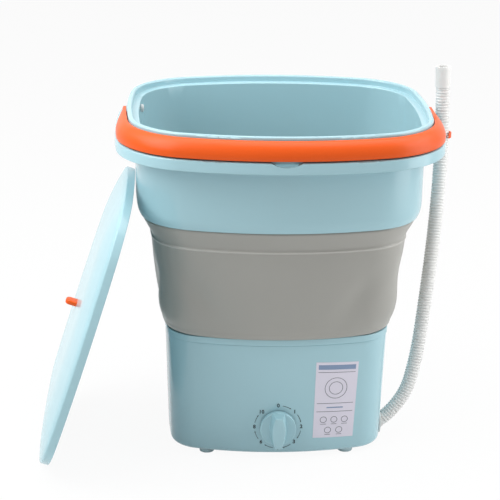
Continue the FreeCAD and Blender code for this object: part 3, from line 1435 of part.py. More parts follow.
PARTS = {
    "base_housing": base_housing,
    "base_plate": base_plate,
    "rubber_feet": rubber_feet,
    "base_screws": base_screws,
    "floor_screws": floor_screws,
    "wash_floor": wash_floor,
    "collar_ring": collar_ring,
    "bellows": bellows,
    "upper_tub": upper_tub,
    "wall_plug": wall_plug,
    "handle": handle,
    "lid": lid,
    "lid_handle": lid_handle,
    "drain_strainer": drain_strainer,
    "drain_elbow": drain_elbow,
    "hose_outlet": hose_outlet,
    "drain_hose": drain_hose,
    "hose_cuff": hose_cuff,
    "hose_clip": hose_clip,
    "bearing_upper": lambda: bearing(z_upper_bearing),
    "bearing_lower": lambda: bearing(z_lower_bearing),
    "shaft_seal": shaft_seal,
    "drive_shaft": drive_shaft,
    "driven_pulley": driven_pulley,
    "pulley_nut": pulley_nut,
    "drive_belt": drive_belt,
    "pulsator": pulsator,
    "pulsator_screw": pulsator_screw,
    "motor_can": motor_can,
    "motor_plate": motor_plate,
    "motor_stator": motor_stator,
    "motor_rotor": motor_rotor,
    "motor_shaft": motor_shaft,
    "motor_pulley": motor_pulley,
    "motor_screws": motor_screws,
    "timer_body": timer_body,
    "timer_screws": timer_screws,
    "timer_shaft": timer_shaft,
    "timer_knob": timer_knob,
    "power_inlet": power_inlet,
    "run_capacitor": run_capacitor,
    "mains_lead": lambda: lead(MAINS_LEAD_ROUTE),
    "motor_lead": lambda: lead(MOTOR_LEAD_ROUTE),
}

os.makedirs("parts", exist_ok=True)
for name, make in PARTS.items():
    make().exportStep("parts/%s.step" % name)
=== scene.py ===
import json
import math

import bmesh
import bpy
from mathutils import Color, Matrix, Vector
from mathutils.geometry import intersect_sphere_sphere_2d


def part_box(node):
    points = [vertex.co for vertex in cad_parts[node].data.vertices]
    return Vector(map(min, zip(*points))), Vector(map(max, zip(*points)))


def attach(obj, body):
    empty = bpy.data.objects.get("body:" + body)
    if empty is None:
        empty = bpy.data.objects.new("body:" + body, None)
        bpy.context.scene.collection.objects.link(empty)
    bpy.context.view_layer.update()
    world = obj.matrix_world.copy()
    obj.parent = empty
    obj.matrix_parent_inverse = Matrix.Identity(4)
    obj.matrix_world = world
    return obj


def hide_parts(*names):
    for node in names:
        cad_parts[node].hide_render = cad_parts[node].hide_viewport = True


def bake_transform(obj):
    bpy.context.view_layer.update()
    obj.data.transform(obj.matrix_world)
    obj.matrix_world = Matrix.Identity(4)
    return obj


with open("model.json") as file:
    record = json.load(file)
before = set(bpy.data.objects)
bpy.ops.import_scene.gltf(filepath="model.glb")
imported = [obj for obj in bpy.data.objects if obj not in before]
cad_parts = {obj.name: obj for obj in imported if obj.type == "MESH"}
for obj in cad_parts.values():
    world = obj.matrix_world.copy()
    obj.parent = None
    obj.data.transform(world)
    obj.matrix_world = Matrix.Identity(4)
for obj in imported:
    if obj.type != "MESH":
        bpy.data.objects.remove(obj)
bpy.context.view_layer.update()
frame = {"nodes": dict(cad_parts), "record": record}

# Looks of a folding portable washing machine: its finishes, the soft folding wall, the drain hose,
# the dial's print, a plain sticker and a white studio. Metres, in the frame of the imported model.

bl_info = {
    "name": "Folding washing machine",
    "version": (1, 0, 0),
    "blender": (4, 5, 0),
    "location": "View3D > Sidebar > Washer",
    "description": "Finishes, soft wall, hose and prints of a folding washing machine",
    "category": "Object",
}

TUB_LOW, TUB_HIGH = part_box("upper_tub")
COLLAR_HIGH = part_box("collar_ring")[1]
BASE_LOW, BASE_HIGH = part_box("base_housing")
KNOB_LOW, KNOB_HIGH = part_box("timer_knob")

# Drain hose: the route's points, from the outlet in the base up to the foot of the cuff
HOSE_ROUTE = [
    (0.1222, -0.0459, 0.0227),
    (0.1460, -0.0420, 0.0425),
    (0.1605, -0.0285, 0.0880),
    (0.1690, -0.0130, 0.1430),
    (0.1770, 0.0020, 0.2030),
    (0.1830, 0.0170, 0.2600),
    (0.1864, 0.0300, 0.3100),
    (0.1872, 0.0370, 0.3500),
    (0.1862, 0.0390, 0.3860),
]

# Outside of the folding wall, from its rolled foot up to the tub: up and out from the collar's outer top edge
WALL_LINE = [
    (0.0004, -0.0012),
    (0.0002, 0.0016),
    (0.0010, 0.0034),
    (0.0030, 0.0046),
    (0.0056, 0.0047),
    (0.0085, 0.0040),
    (0.0130, 0.0043),
    (0.0210, 0.0058),
    (0.0370, 0.0086),
    (0.0600, 0.0114),
    (0.0850, 0.0138),
    (0.1000, 0.0151),
    (0.1018, 0.0153),
    (0.1027, 0.0163),
    (0.1040, 0.0163),
    (0.1047, 0.0152),
    (0.1064, 0.0153),
    (0.1105, 0.0172),
    (0.1180, 0.0214),
    (0.1274, 0.0264),
]

# Settings that the node trees of the hose and of the folding wall take as inputs
HOSE_INPUTS = ("crest", "root", "pitch", "groove", "sides", "rib_steps")
WALL_INPUTS = (
    "swell", "swell_height", "swell_reach", "swell_width",
    "tuck", "tuck_reach",
    "fold_depth", "fold_start", "fold_slope", "fold_width", "fold_height", "fold_reach",
    "crease", "crease_reach",
)

# Marks round the dial, clockwise from the top
DIAL_MARKS = ["0", "1", "2", "3", "4", "6", "8", "10"]

# Sticker on the front of the base: corners as x and z, clockwise from the top left
STICKER_CORNERS = [(0.0404, 0.1137), (0.0876, 0.1112), (0.0837, 0.0217), (0.0387, 0.0233)]

# Print of the sticker, in shares of its width and height
STICKER_MARGIN = 0.06
BAND_HEIGHTS = (0.905, 0.965)
RULE_HEIGHTS = (0.865, 0.455, 0.345)
DRUM_PLACE = (0.50, 0.66)
BAR_EDGES = (0.30, 0.70, 0.395, 0.410)
SIGN_PLACES = [(0.24, 0.24), (0.50, 0.24), (0.76, 0.24), (0.36, 0.10), (0.64, 0.10)]
SIGN_RULE_REACH = 0.07
SIGN_RULE_DROP = 0.062

# Points this near become one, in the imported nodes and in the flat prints
NODE_JOIN = 0.000002
PRINT_JOIN = 0.00001

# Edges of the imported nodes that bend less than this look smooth
SMOOTH_ANGLE = math.radians(32.0)

WHITE = (1.0, 1.0, 1.0, 1.0)

# Kinds of node input, by the kind of value that they take
INPUT_KINDS = {int: "NodeSocketInt", float: "NodeSocketFloat", bpy.types.Object: "NodeSocketObject"}

# Lamps: the setting with the power, the place, and the width and height
LAMPS = [
    ("low_left", (-0.85, -0.42, 0.92), (0.7, 0.9)),
    ("low_right", (1.05, -0.22, 0.45), (0.7, 1.0)),
    ("high_left", (-1.00, 0.00, 1.30), (1.0, 1.0)),
    ("high_right", (1.00, 0.00, 1.30), (1.0, 1.0)),
    ("top", (0.00, 0.10, 2.20), (1.8, 1.6)),
]


# Settings that a user would change

def length(name, description, default):
    return bpy.props.FloatProperty(name=name, description=description, default=default,
                                   unit="LENGTH", precision=5)


def angle(name, description, degrees):
    return bpy.props.FloatProperty(name=name, description=description, default=math.radians(degrees),
                                   subtype="ANGLE")


def tint(name, description, red, green, blue):
    return bpy.props.FloatVectorProperty(name=name, description=description, default=(red, green, blue),
                                         size=3, min=0.0, max=1.0, subtype="COLOR_GAMMA")


def amount(name, description, default, unit="NONE"):
    return bpy.props.FloatProperty(name=name, description=description, default=default, unit=unit)


def portion(name, description, default):
    return bpy.props.FloatProperty(name=name, description=description, default=default,
                                   min=0.0, max=1.0, subtype="FACTOR")


def whole(name, description, default):
    return bpy.props.IntProperty(name=name, description=description, default=default)


def group(kind, name, description):
    return bpy.props.PointerProperty(type=kind, name=name, description=description)


class PlanShape(bpy.types.PropertyGroup):
    """Plan that every level of the washer follows"""
    half_width: length("Half width", "Half width of the lip", TUB_HIGH.x)
    half_depth: length("Half depth", "Half depth of the lip", TUB_HIGH.y)
    corner: length("Corner radius", "Radius of the lip's corners", 0.095)
    front_bow: length("Front bow", "Radius of the bowed front and back", 0.393)
    side_bow: length("Side bow", "Radius of the bowed sides", 0.718)
    column: length("Column width", "Width of one column of faces round the plan", 0.0045)
    arc_steps: whole("Arc steps", "Least number of columns in one arc of the plan", 6)
    base_foot: length("Base foot", "Half width of the base at its foot", 0.1192)
    base_top: length("Base top", "Half width of the base at its top", BASE_HIGH.x)


class Colours(bpy.types.PropertyGroup):
    """Colours of the finishes as they are seen"""
    body: tint("Body", "Light blue moulded plastic", 0.645, 0.795, 0.832)
    wall: tint("Folding wall", "Warm grey soft wall", 0.630, 0.627, 0.605)
    # Crease: a painted highlight, a paler line along the wall's crease where light catches its bead
    crease: tint("Crease", "Paler wall along its crease", 0.740, 0.735, 0.715)
    handle: tint("Handle", "Orange moulded plastic", 0.905, 0.345, 0.060)
    hose: tint("Hose", "White hose plastic", 0.895, 0.895, 0.887)
    fittings: tint("Fittings", "White fittings inside", 0.880, 0.885, 0.880)
    feet: tint("Feet", "Pale rubber feet", 0.740, 0.830, 0.850)
    plug: tint("Plug", "Milky plug in the tub's wall", 0.930, 0.940, 0.940)
    rubber: tint("Rubber", "Dark rubber of belt and seal", 0.110, 0.110, 0.115)
    black: tint("Black", "Black plastic", 0.090, 0.090, 0.095)
    steel: tint("Steel", "Plated steel", 0.720, 0.720, 0.730)
    motor: tint("Motor", "Galvanised motor can", 0.520, 0.530, 0.550)
    core: tint("Core", "Iron core", 0.330, 0.320, 0.320)
    print: tint("Print", "Dark print round the dial", 0.130, 0.160, 0.180)
    paper: tint("Sticker", "Pale sticker", 0.860, 0.845, 0.895)
    band: tint("Sticker band", "Soft blue band of the sticker", 0.500, 0.580, 0.700)
    line: tint("Sticker lines", "Grey lines of the sticker", 0.420, 0.430, 0.470)


class HoseShape(bpy.types.PropertyGroup):
    """Ribbed drain hose"""
    crest: length("Crest radius", "Radius over the ribs", 0.008)
    root: length("Root radius", "Radius between the ribs", 0.0071)
    wall: length("Wall", "Thickness of the hose's wall", 0.001)
    pitch: length("Rib pitch", "Distance from rib to rib", 0.00325)
    groove: amount("Groove", "How narrow the grooves are; more is narrower", 3.0)
    sides: whole("Sides", "Faces round the hose", 28)
    rib_steps: whole("Rib steps", "Rings of faces in one rib", 6)
    route_steps: whole("Route steps", "Points for each point of the route", 24)
    real_length: length("Length", "Length of the hose without its cuff", 0.388)
    fold_start: length("Fold start", "Height under which the hose stays with the base", 0.060)
    fold_end: length("Fold end", "Height over which the hose goes with the tub", 0.330)


class WallShape(bpy.types.PropertyGroup):
    """Soft folding wall"""
    thickness: length("Thickness", "Thickness of the soft wall", 0.0022)
    tongue: length("Tongue", "How far the wall goes up inside the tub", 0.0120)
    tongue_inset: length("Tongue inset", "How far the upper tongue stands in from the shoulder", 0.0020)
    foot: length("Foot", "How far the wall goes down inside the collar", 0.0070)
    foot_inset: length("Foot inset", "How far the lower tongue stands in from the collar", 0.0030)
    swell: length("Swell", "How far the lower corners swell", 0.0024)
    swell_height: length("Swell height", "Height of the swell over the collar", 0.0260)
    swell_reach: length("Swell reach", "Half height of the swell", 0.0180)
    swell_width: length("Swell width", "How far the swell goes to each side of a corner", 0.0420)
    tuck: length("Tuck", "How far the foot is drawn in at the corners", 0.0048)
    tuck_reach: length("Tuck reach", "Height of the drawn-in foot", 0.0095)
    crease: length("Crease", "Height of the crease over the collar", 0.1034)
    # Crease reach: half height of the painted highlight along the crease
    crease_reach: length("Crease reach", "Half height of the worn line along the crease", 0.0011)
    fold_depth: length("Fold depth", "Depth of the soft slanting folds beside the corners", 0.0036)
    fold_start: length("Fold start", "Distance of a fold from its corner at the wall's foot", 0.0610)
    fold_slope: amount("Fold slope", "How fast a fold comes nearer to its corner on the way up", 0.54)
    fold_width: length("Fold width", "Half width of a fold", 0.0150)
    fold_height: length("Fold height", "Height of a fold's middle over the collar", 0.0460)
    fold_reach: length("Fold reach", "Half height of a fold", 0.0290)
    line_steps: whole("Line steps", "Rows of faces for each point of the section", 5)


class DialPrint(bpy.types.PropertyGroup):
    """Marks and arrows round the dial"""
    radius: length("Radius", "Radius of the circle of marks", 0.0257)
    figure: length("Figure size", "Size of the figures", 0.0060)
    weight: length("Figure weight", "How much the figures' strokes are thickened", 0.00015)
    figure_steps: whole("Figure steps", "Edges along each curve of a figure", 4)
    line: length("Line", "Width of the arrow lines", 0.0005)
    head: length("Arrow head", "Length of the arrow heads", 0.0021)
    head_width: length("Arrow head width", "Width of the arrow heads", 0.0014)
    steps: whole("Steps", "Faces along an arrow", 8)
    gap: angle("Gap", "Angle left free beside each mark", 11.0)
    lift: length("Lift", "How far the print stands over the surface", 0.0002)
    thickness: length("Thickness", "Thickness of the print", 0.00012)


class Sticker(bpy.types.PropertyGroup):
    """Plain sticker on the front"""
    lift: length("Lift", "How far the paper stands over the surface", 0.0002)
    ink: length("Ink", "Thickness of the paper and of its print", 0.00012)
    columns: whole("Columns", "Faces across the sticker", 16)
    line: length("Line", "Width of the rings' lines", 0.0006)
    rule: portion("Rule", "Height of the ruled lines as a share of the sticker", 0.006)
    drum: length("Drum", "Radius of the large ring", 0.0125)
    drum_middle: length("Drum middle", "Radius of the ring inside the large ring", 0.00775)
    sign: length("Sign", "Radius of the small rings", 0.0038)
    ring_steps: whole("Ring steps", "Faces round a ring", 28)


class Studio(bpy.types.PropertyGroup):
    """Camera, floor and light"""
    azimuth: angle("Azimuth", "Turn of the camera round the washer", -2.888)
    elevation: angle("Elevation", "How far the camera looks down", 18.33)
    roll: angle("Roll", "Tilt of the camera about its own line of sight", 0.8904)
    distance: length("Distance", "Distance of the camera from what it looks at", 1.8859)
    target: bpy.props.FloatVectorProperty(name="Target", description="Point that the camera looks at",
                                          default=(-0.02831, 0.0, 0.20766), size=3, subtype="TRANSLATION")
    sensor: amount("Sensor", "Width of the camera's sensor", 36.0, unit="CAMERA")
    lens: amount("Lens", "Focal length of the camera", 121.16, unit="CAMERA")
    floor_size: length("Floor", "Half width of the floor", 9.0)
    floor_parts: whole("Floor parts", "Faces along each side of the floor", 4)
    floor_drop: length("Floor drop", "How far the floor lies under the feet", 0.0002)
    floor_paint: portion("Floor paint", "Share of the light that the floor throws back", 0.78)
    floor_white: portion("Floor white", "Share of plain white in the floor as the camera sees it", 0.94)
    room_light: amount("Room light", "Strength of the even light", 0.32)
    low_left: amount("Low left lamp", "Power of the lamp in front on the left", 7.0, unit="POWER")
    low_right: amount("Low right lamp", "Power of the lamp beside on the right", 5.0, unit="POWER")
    high_left: amount("High left lamp", "Power of the lamp over the left side", 7.5, unit="POWER")
    high_right: amount("High right lamp", "Power of the lamp over the right side", 6.5, unit="POWER")
    top: amount("Top lamp", "Power of the lamp overhead", 24.0, unit="POWER")


class WasherLooks(bpy.types.PropertyGroup):
    """All settings of the washer's looks"""
    plan: group(PlanShape, "Plan", "Plan of every level")
    colours: group(Colours, "Colours", "Colours of the finishes")
    hose: group(HoseShape, "Hose", "Drain hose")
    wall: group(WallShape, "Folding wall", "Soft folding wall")
    dial: group(DialPrint, "Dial print", "Marks round the dial")
    sticker: group(Sticker, "Sticker", "Plain sticker")
    studio: group(Studio, "Studio", "Camera, floor and light")


# Meshes and node trees

def new_piece(name, mesh):
    """Object in the scene for a mesh, curve, lamp or camera."""
    piece = bpy.data.objects.new(name, mesh)
    bpy.context.scene.collection.objects.link(piece)
    return piece


def evaluated_mesh(source, name):
    """Plain mesh of an object as its modifiers leave it; the object is removed."""
    graph = bpy.context.evaluated_depsgraph_get()
    mesh = bpy.data.meshes.new_from_object(source.evaluated_get(graph), depsgraph=graph)
    mesh.name = name
    bpy.data.objects.remove(source)
    return mesh


def finished_piece(source, name):
    """Piece from an object as its modifiers leave it."""
    return new_piece(name, evaluated_mesh(source, name))


def curve_mesh(curve, name):
    """Mesh of a curve; the curve is removed."""
    mesh = evaluated_mesh(new_piece(name, curve), name)
    bpy.data.curves.remove(curve)
    return mesh


def thicken(source, thickness):
    """Give a surface a wall that goes inwards from it."""
    wall = source.modifiers.new("Wall", "SOLIDIFY")
    wall.thickness = thickness
    wall.offset = -1.0


def mesh_from(build, name, material):
    """Mesh made by a function that fills a bmesh."""
    work = bmesh.new()
    build(work)
    mesh = bpy.data.meshes.new(name)
    work.to_mesh(mesh)
    work.free()
    mesh.materials.append(material)
    return mesh


def add_node(tree, kind, inputs=None, **settings):
    """New node with its settings; an input takes a value, a node's output, or a node for its first output."""
    node = tree.nodes.new(kind)
    for name, value in settings.items():
        setattr(node, name, value)
    for name, value in (inputs or {}).items():
        source = value.outputs[0] if isinstance(value, bpy.types.Node) else value
        if isinstance(source, bpy.types.NodeSocket):
            tree.links.new(source, node.inputs[name])
        else:
            node.inputs[name].default_value = source
    return node


def math_node(tree, operation, first, second=None):
    """Math node on numbers or other nodes."""
    inputs = {0: first} if second is None else {0: first, 1: second}
    return add_node(tree, "ShaderNodeMath", inputs, operation=operation)


def new_tree(name, values):
    """Node tree with geometry in and out and one input for each value, and what its inputs give."""
    tree = bpy.data.node_groups.new(name, "GeometryNodeTree")
    tree.interface.new_socket("Geometry", in_out="INPUT", socket_type="NodeSocketGeometry")
    for label, value in values.items():
        item = tree.interface.new_socket(label, in_out="INPUT", socket_type=INPUT_KINDS[type(value)])
        item.default_value = value
    tree.interface.new_socket("Geometry", in_out="OUTPUT", socket_type="NodeSocketGeometry")
    return tree, add_node(tree, "NodeGroupInput").outputs


def values_of(settings, names):
    """Values of some settings, by the names that a user sees."""
    return {settings.bl_rna.properties[name].name: getattr(settings, name) for name in names}


def use_tree(source, name, tree, values):
    """Node modifier whose inputs are set by their names, through the sockets' identifiers."""
    modifier = source.modifiers.new(name, "NODES")
    modifier.node_group = tree
    for item in tree.interface.items_tree:
        if item.item_type == "SOCKET" and item.in_out == "INPUT" and item.name in values:
            modifier[item.identifier] = values[item.name]


def named_value(tree, name, kind):
    """Node that reads an attribute of the source mesh."""
    return add_node(tree, "GeometryNodeInputNamedAttribute", {"Name": name}, data_type=kind)


def finish_tree(tree, geometry, material):
    """End of a node tree: plain geometry, smooth, with its material."""
    shading = add_node(tree, "GeometryNodeSetShadeSmooth", {"Geometry": geometry})
    realize = add_node(tree, "GeometryNodeRealizeInstances", {"Geometry": shading})
    finish = add_node(tree, "GeometryNodeSetMaterial", {"Geometry": realize, "Material": material})
    add_node(tree, "NodeGroupOutput", {"Geometry": finish})


def spline_points(name, places, steps):
    """Mesh of points along a smooth spline that has the given places as its control points."""
    curve = bpy.data.curves.new(name, "CURVE")
    curve.dimensions = "3D"
    curve.resolution_u = steps
    spline = curve.splines.new("NURBS")
    spline.points.add(len(places) - 1)
    for point, place in zip(spline.points, places):
        point.co = (*place, 1.0)
    spline.order_u = 3
    spline.use_endpoint_u = True
    return curve_mesh(curve, name)


# Plan of the washer

def plan_arcs(plan):
    """Arcs of the lip's plan, anticlockwise from the front: centre, radius, start and end angle."""
    front = Vector((0.0, plan.front_bow - plan.half_depth))
    side = Vector((plan.half_width - plan.side_bow, 0.0))
    meets = intersect_sphere_sphere_2d(front, plan.front_bow - plan.corner, side, plan.side_bow - plan.corner)
    corner = max(meets, key=lambda point: point.x - point.y)
    first = math.atan2(corner.y - front.y, corner.x)
    second = math.atan2(corner.y, corner.x - side.x)
    half = math.pi
    return [
        (front.x, front.y, plan.front_bow, -half - first, first),
        (corner.x, corner.y, plan.corner, first, second),
        (side.x, side.y, plan.side_bow, second, -second),
        (corner.x, -corner.y, plan.corner, -second, -first),
        (front.x, -front.y, plan.front_bow, -first, half + first),
        (-corner.x, -corner.y, plan.corner, half + first, half + second),
        (-side.x, side.y, plan.side_bow, half + second, half - second),
        (-corner.x, corner.y, plan.corner, half - second, half - first),
    ]


def plan_columns(plan):
    """Places round the plan: centre and radius of the arc, and angle."""
    columns = []
    for x, y, radius, start, end in plan_arcs(plan):
        turn = (end - start) % (2 * math.pi)
        steps = max(plan.arc_steps, round(radius * turn / plan.column))
        columns += [(x, y, radius, start + turn * step / steps) for step in range(steps)]
    return columns


def plan_point(plan, column, half_width, height):
    """Place of a column on the level that has this half width."""
    x, y, radius, turn = column
    reach = radius - plan.half_width + half_width
    return Vector((x + reach * math.cos(turn), y + reach * math.sin(turn), height))


def base_front(plan, x, z):
    """Y of the base's front face."""
    share = (z - BASE_LOW.z) / (BASE_HIGH.z - BASE_LOW.z)
    half_width = plan.base_foot + (plan.base_top - plan.base_foot) * share
    reach = plan.front_bow - plan.half_width + half_width
    return plan.front_bow - plan.half_depth - math.sqrt(reach ** 2 - x ** 2)


def on_base_front(plan, mesh, lift):
    """Lay a mesh drawn in x and z, with its thickness in y, on the base's front face."""
    for vertex in mesh.vertices:
        x, y, z = vertex.co
        vertex.co.y = base_front(plan, x, z) - lift + y


# Finishes

def shade(colour, share):
    """Scene colour of a colour as it is seen, made lighter or darker by a share."""
    linear = Color(colour).from_srgb_to_scene_linear()
    return tuple(min(1.0, part * share) for part in linear) + (1.0,)


def empty_nodes(owner, output_kind):
    """Node tree of a material or a world with nothing but its output node."""
    owner.use_nodes = True
    tree = owner.node_tree
    tree.nodes.clear()
    return tree, tree.nodes.new(output_kind)


def new_finish(name):
    """Material with its node tree and its shader."""
    finish = bpy.data.materials.new(name)
    tree, output = empty_nodes(finish, "ShaderNodeOutputMaterial")
    shader = add_node(tree, "ShaderNodeBsdfPrincipled")
    tree.links.new(shader.outputs["BSDF"], output.inputs["Surface"])
    return finish, tree, shader


def noise(tree, scale, detail=3.0, stretch=(1.0, 1.0, 1.0)):
    """Noise on the piece's own place; stretch draws it out along an axis."""
    place = add_node(tree, "ShaderNodeTexCoord").outputs["Object"]
    mapping = add_node(tree, "ShaderNodeMapping", {"Vector": place, "Scale": stretch})
    inputs = {"Vector": mapping, "Scale": scale, "Detail": detail}
    return add_node(tree, "ShaderNodeTexNoise", inputs).outputs["Fac"]


def vary_colour(tree, shader, pattern, colour, spread):
    inputs = {"Factor": pattern, "A": shade(colour, 1.0 - spread), "B": shade(colour, 1.0 + spread)}
    mix = add_node(tree, "ShaderNodeMix", inputs, data_type="RGBA")
    tree.links.new(mix.outputs["Result"], shader.inputs["Base Color"])


def vary_roughness(tree, shader, pattern, low, high):
    spread = add_node(tree, "ShaderNodeMapRange", {"Value": pattern, "To Min": low, "To Max": high})
    tree.links.new(spread.outputs["Result"], shader.inputs["Roughness"])


def roughen(tree, shader, pattern, strength, depth):
    bump = add_node(tree, "ShaderNodeBump", {"Height": pattern, "Strength": strength, "Distance": depth})
    tree.links.new(bump.outputs["Normal"], shader.inputs["Normal"])


def uneven_finish(name, colour, clouds, polish, grain):
    """Finish with soft clouds in its colour, an uneven polish and a fine grain."""
    finish, tree, shader = new_finish(name)
    vary_colour(tree, shader, noise(tree, clouds["scale"], clouds["detail"]), colour, clouds["spread"])
    vary_roughness(tree, shader, noise(tree, polish["scale"]), polish["low"], polish["high"])
    roughen(tree, shader, noise(tree, grain["scale"], grain["detail"]), grain["strength"], grain["depth"])
    return finish, tree, shader


def moulded_plastic(name, colour, roughness, grain=0.06, flow=0.02, gloss=0.5):
    """Moulded plastic with faint flow clouds."""
    finish, _, shader = uneven_finish(
        name, colour,
        clouds={"scale": 9.0, "detail": 2.0, "spread": flow},
        polish={"scale": 60.0, "low": roughness - 0.04, "high": roughness + 0.06},
        grain={"scale": 900.0, "detail": 2.0, "strength": grain, "depth": 0.0004},
    )
    shader.inputs["Specular IOR Level"].default_value = gloss
    return finish


def soft_wall(name, colour, painted_highlight):
    """Soft satin rubber with a fine matt grain, and a painted highlight along its crease."""
    finish, tree, shader = uneven_finish(
        name, colour,
        clouds={"scale": 14.0, "detail": 4.0, "spread": 0.035},
        polish={"scale": 35.0, "low": 0.30, "high": 0.40},
        grain={"scale": 1400.0, "detail": 3.0, "strength": 0.10, "depth": 0.0003},
    )
    clouds = shader.inputs["Base Color"].links[0].from_socket
    # The paler line along the crease is a painted highlight, mixed over the colour clouds
    crease = add_node(tree, "ShaderNodeAttribute", attribute_name="crease")
    inputs = {"Factor": crease.outputs["Fac"], "A": clouds, "B": shade(painted_highlight, 1.0)}
    blend = add_node(tree, "ShaderNodeMix", inputs, data_type="RGBA")
    tree.links.new(blend.outputs["Result"], shader.inputs["Base Color"])
    return finish


def hose_plastic(name, colour):
    """White hose plastic that lets a little light through."""
    finish, _, shader = uneven_finish(
        name, colour,
        clouds={"scale": 30.0, "detail": 3.0, "spread": 0.02},
        polish={"scale": 80.0, "low": 0.36, "high": 0.48},
        grain={"scale": 700.0, "detail": 2.0, "strength": 0.05, "depth": 0.0003},
    )
    shader.inputs["Subsurface Weight"].default_value = 0.25
    shader.inputs["Subsurface Radius"].default_value = (0.004, 0.004, 0.004)
    shader.inputs["Subsurface Scale"].default_value = 1.0
    return finish


def clear_plastic(name, colour):
    """Milky see-through plastic."""
    finish, _, shader = uneven_finish(
        name, colour,
        clouds={"scale": 200.0, "detail": 2.0, "spread": 0.02},
        polish={"scale": 300.0, "low": 0.18, "high": 0.28},
        grain={"scale": 900.0, "detail": 2.0, "strength": 0.05, "depth": 0.0003},
    )
    shader.inputs["Transmission Weight"].default_value = 0.30
    shader.inputs["IOR"].default_value = 1.46
    return finish


def rubber(name, colour):
    """Matt rubber."""
    return uneven_finish(
        name, colour,
        clouds={"scale": 90.0, "detail": 4.0, "spread": 0.08},
        polish={"scale": 150.0, "low": 0.62, "high": 0.80},
        grain={"scale": 1200.0, "detail": 3.0, "strength": 0.15, "depth": 0.0003},
    )[0]


def metal(name, colour, roughness, stretch):
    """Metal with fine marks, which stretch draws out along an axis."""
    finish, tree, shader = new_finish(name)
    marks = noise(tree, scale=400.0, stretch=stretch)
    vary_colour(tree, shader, marks, colour, spread=0.06)
    vary_roughness(tree, shader, marks, low=roughness - 0.06, high=roughness + 0.10)
    roughen(tree, shader, marks, strength=0.08, depth=0.0002)
    shader.inputs["Metallic"].default_value = 1.0
    return finish


def laminated_core(name, colour):
    """Stacked iron sheets: fine bands one above the other."""
    finish, tree, shader = new_finish(name)
    bands = noise(tree, scale=300.0, detail=1.0, stretch=(0.02, 0.02, 6.0))
    vary_colour(tree, shader, bands, colour, spread=0.25)
    vary_roughness(tree, shader, bands, low=0.45, high=0.70)
    roughen(tree, shader, bands, strength=0.30, depth=0.0003)
    shader.inputs["Metallic"].default_value = 0.9
    return finish


def slot_finishes(colours):
    """Finish of each material slot in the record."""
    drawn = (1.0, 1.0, 0.05)
    turned = (0.05, 0.05, 1.0)
    even = (1.0, 1.0, 1.0)
    return {
        "blue_plastic": moulded_plastic("glossy_blue_plastic", colours.body, roughness=0.17),
        "blue_inner_plastic": moulded_plastic("satin_blue_plastic", colours.body, roughness=0.32),
        # The wall's second colour is its painted highlight along the crease
        "grey_bellows": soft_wall("soft_grey_wall", colours.wall, colours.crease),
        "orange_plastic": moulded_plastic("orange_handle_plastic", colours.handle, roughness=0.34,
                                          flow=0.03, gloss=0.3),
        "hose_plastic": hose_plastic("white_hose_plastic", colours.hose),
        "white_plastic": moulded_plastic("white_fitting_plastic", colours.fittings, roughness=0.42),
        "clear_plug": clear_plastic("milky_plug_plastic", colours.plug),
        "foot_rubber": rubber("pale_foot_rubber", colours.feet),
        "dark_rubber": rubber("belt_rubber", colours.rubber),
        "black_plastic": moulded_plastic("black_moulding", colours.black, roughness=0.45, grain=0.15),
        "capacitor_can": moulded_plastic("can_plastic", colours.fittings, roughness=0.30),
        "screw_steel": metal("plated_screw_steel", colours.steel, roughness=0.32, stretch=drawn),
        "bearing_steel": metal("ground_bearing_steel", colours.steel, roughness=0.22, stretch=drawn),
        "motor_metal": metal("galvanised_motor_can", colours.motor, roughness=0.45, stretch=even),
        "motor_core": laminated_core("stacked_iron_core", colours.core),
        "motor_pulley_metal": metal("turned_pulley_steel", colours.steel, roughness=0.30, stretch=turned),
    }


def smooth_tree(values):
    """Node tree that joins loose triangles and shades them smooth up to an angle."""
    tree, size = new_tree("smooth_by_angle", values)
    bend = add_node(tree, "GeometryNodeInputMeshEdgeAngle").outputs["Unsigned Angle"]
    gentle = math_node(tree, "LESS_THAN", bend, size["Angle"])
    inputs = {"Geometry": size["Geometry"], "Distance": size["Join"]}
    join = add_node(tree, "GeometryNodeMergeByDistance", inputs)
    faces = add_node(tree, "GeometryNodeSetShadeSmooth", {"Geometry": join})
    inputs = {"Geometry": faces, "Shade Smooth": gentle}
    edges = add_node(tree, "GeometryNodeSetShadeSmooth", inputs, domain="EDGE")
    add_node(tree, "NodeGroupOutput", {"Geometry": edges})
    return tree


def finish_nodes(looks):
    """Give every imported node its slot's finish and smooth shading."""
    finishes = slot_finishes(looks.colours)
    values = {"Angle": SMOOTH_ANGLE, "Join": NODE_JOIN}
    tree = smooth_tree(values)
    for row in frame["record"]["subparts"]:
        node = frame["nodes"][row["node"]]
        if not node.material_slots:
            node.data.materials.append(None)
        for place in node.material_slots:
            place.material = finishes[row["material_slot"]]
        use_tree(node, "Smooth", tree, values)


# Drain hose

def hose_tree(material, sizes):
    """Node tree that sweeps a ribbed tube along a line."""
    tree, size = new_tree("ribbed_hose", sizes)
    line = add_node(tree, "GeometryNodeMeshToCurve", {"Mesh": size["Geometry"]})
    step = math_node(tree, "DIVIDE", size["Rib pitch"], size["Rib steps"])
    rings = add_node(tree, "GeometryNodeResampleCurve", {"Curve": line, "Length": step}, mode="LENGTH")
    # The groove is narrow and the rib is wide and round
    along = add_node(tree, "GeometryNodeSplineParameter").outputs["Length"]
    turns = math_node(tree, "DIVIDE", along, size["Rib pitch"])
    wave = math_node(tree, "ABSOLUTE", math_node(tree, "COSINE", math_node(tree, "MULTIPLY", turns, math.pi)))
    groove = math_node(tree, "POWER", wave, size["Groove"])
    depth = math_node(tree, "SUBTRACT", size["Crest radius"], size["Root radius"])
    radius = math_node(tree, "SUBTRACT", size["Crest radius"], math_node(tree, "MULTIPLY", groove, depth))
    inputs = {"Resolution": size["Sides"], "Radius": 1.0}
    section = add_node(tree, "GeometryNodeCurvePrimitiveCircle", inputs)
    inputs = {"Curve": rings, "Profile Curve": section, "Scale": radius}
    finish_tree(tree, add_node(tree, "GeometryNodeCurveToMesh", inputs), material)
    return tree


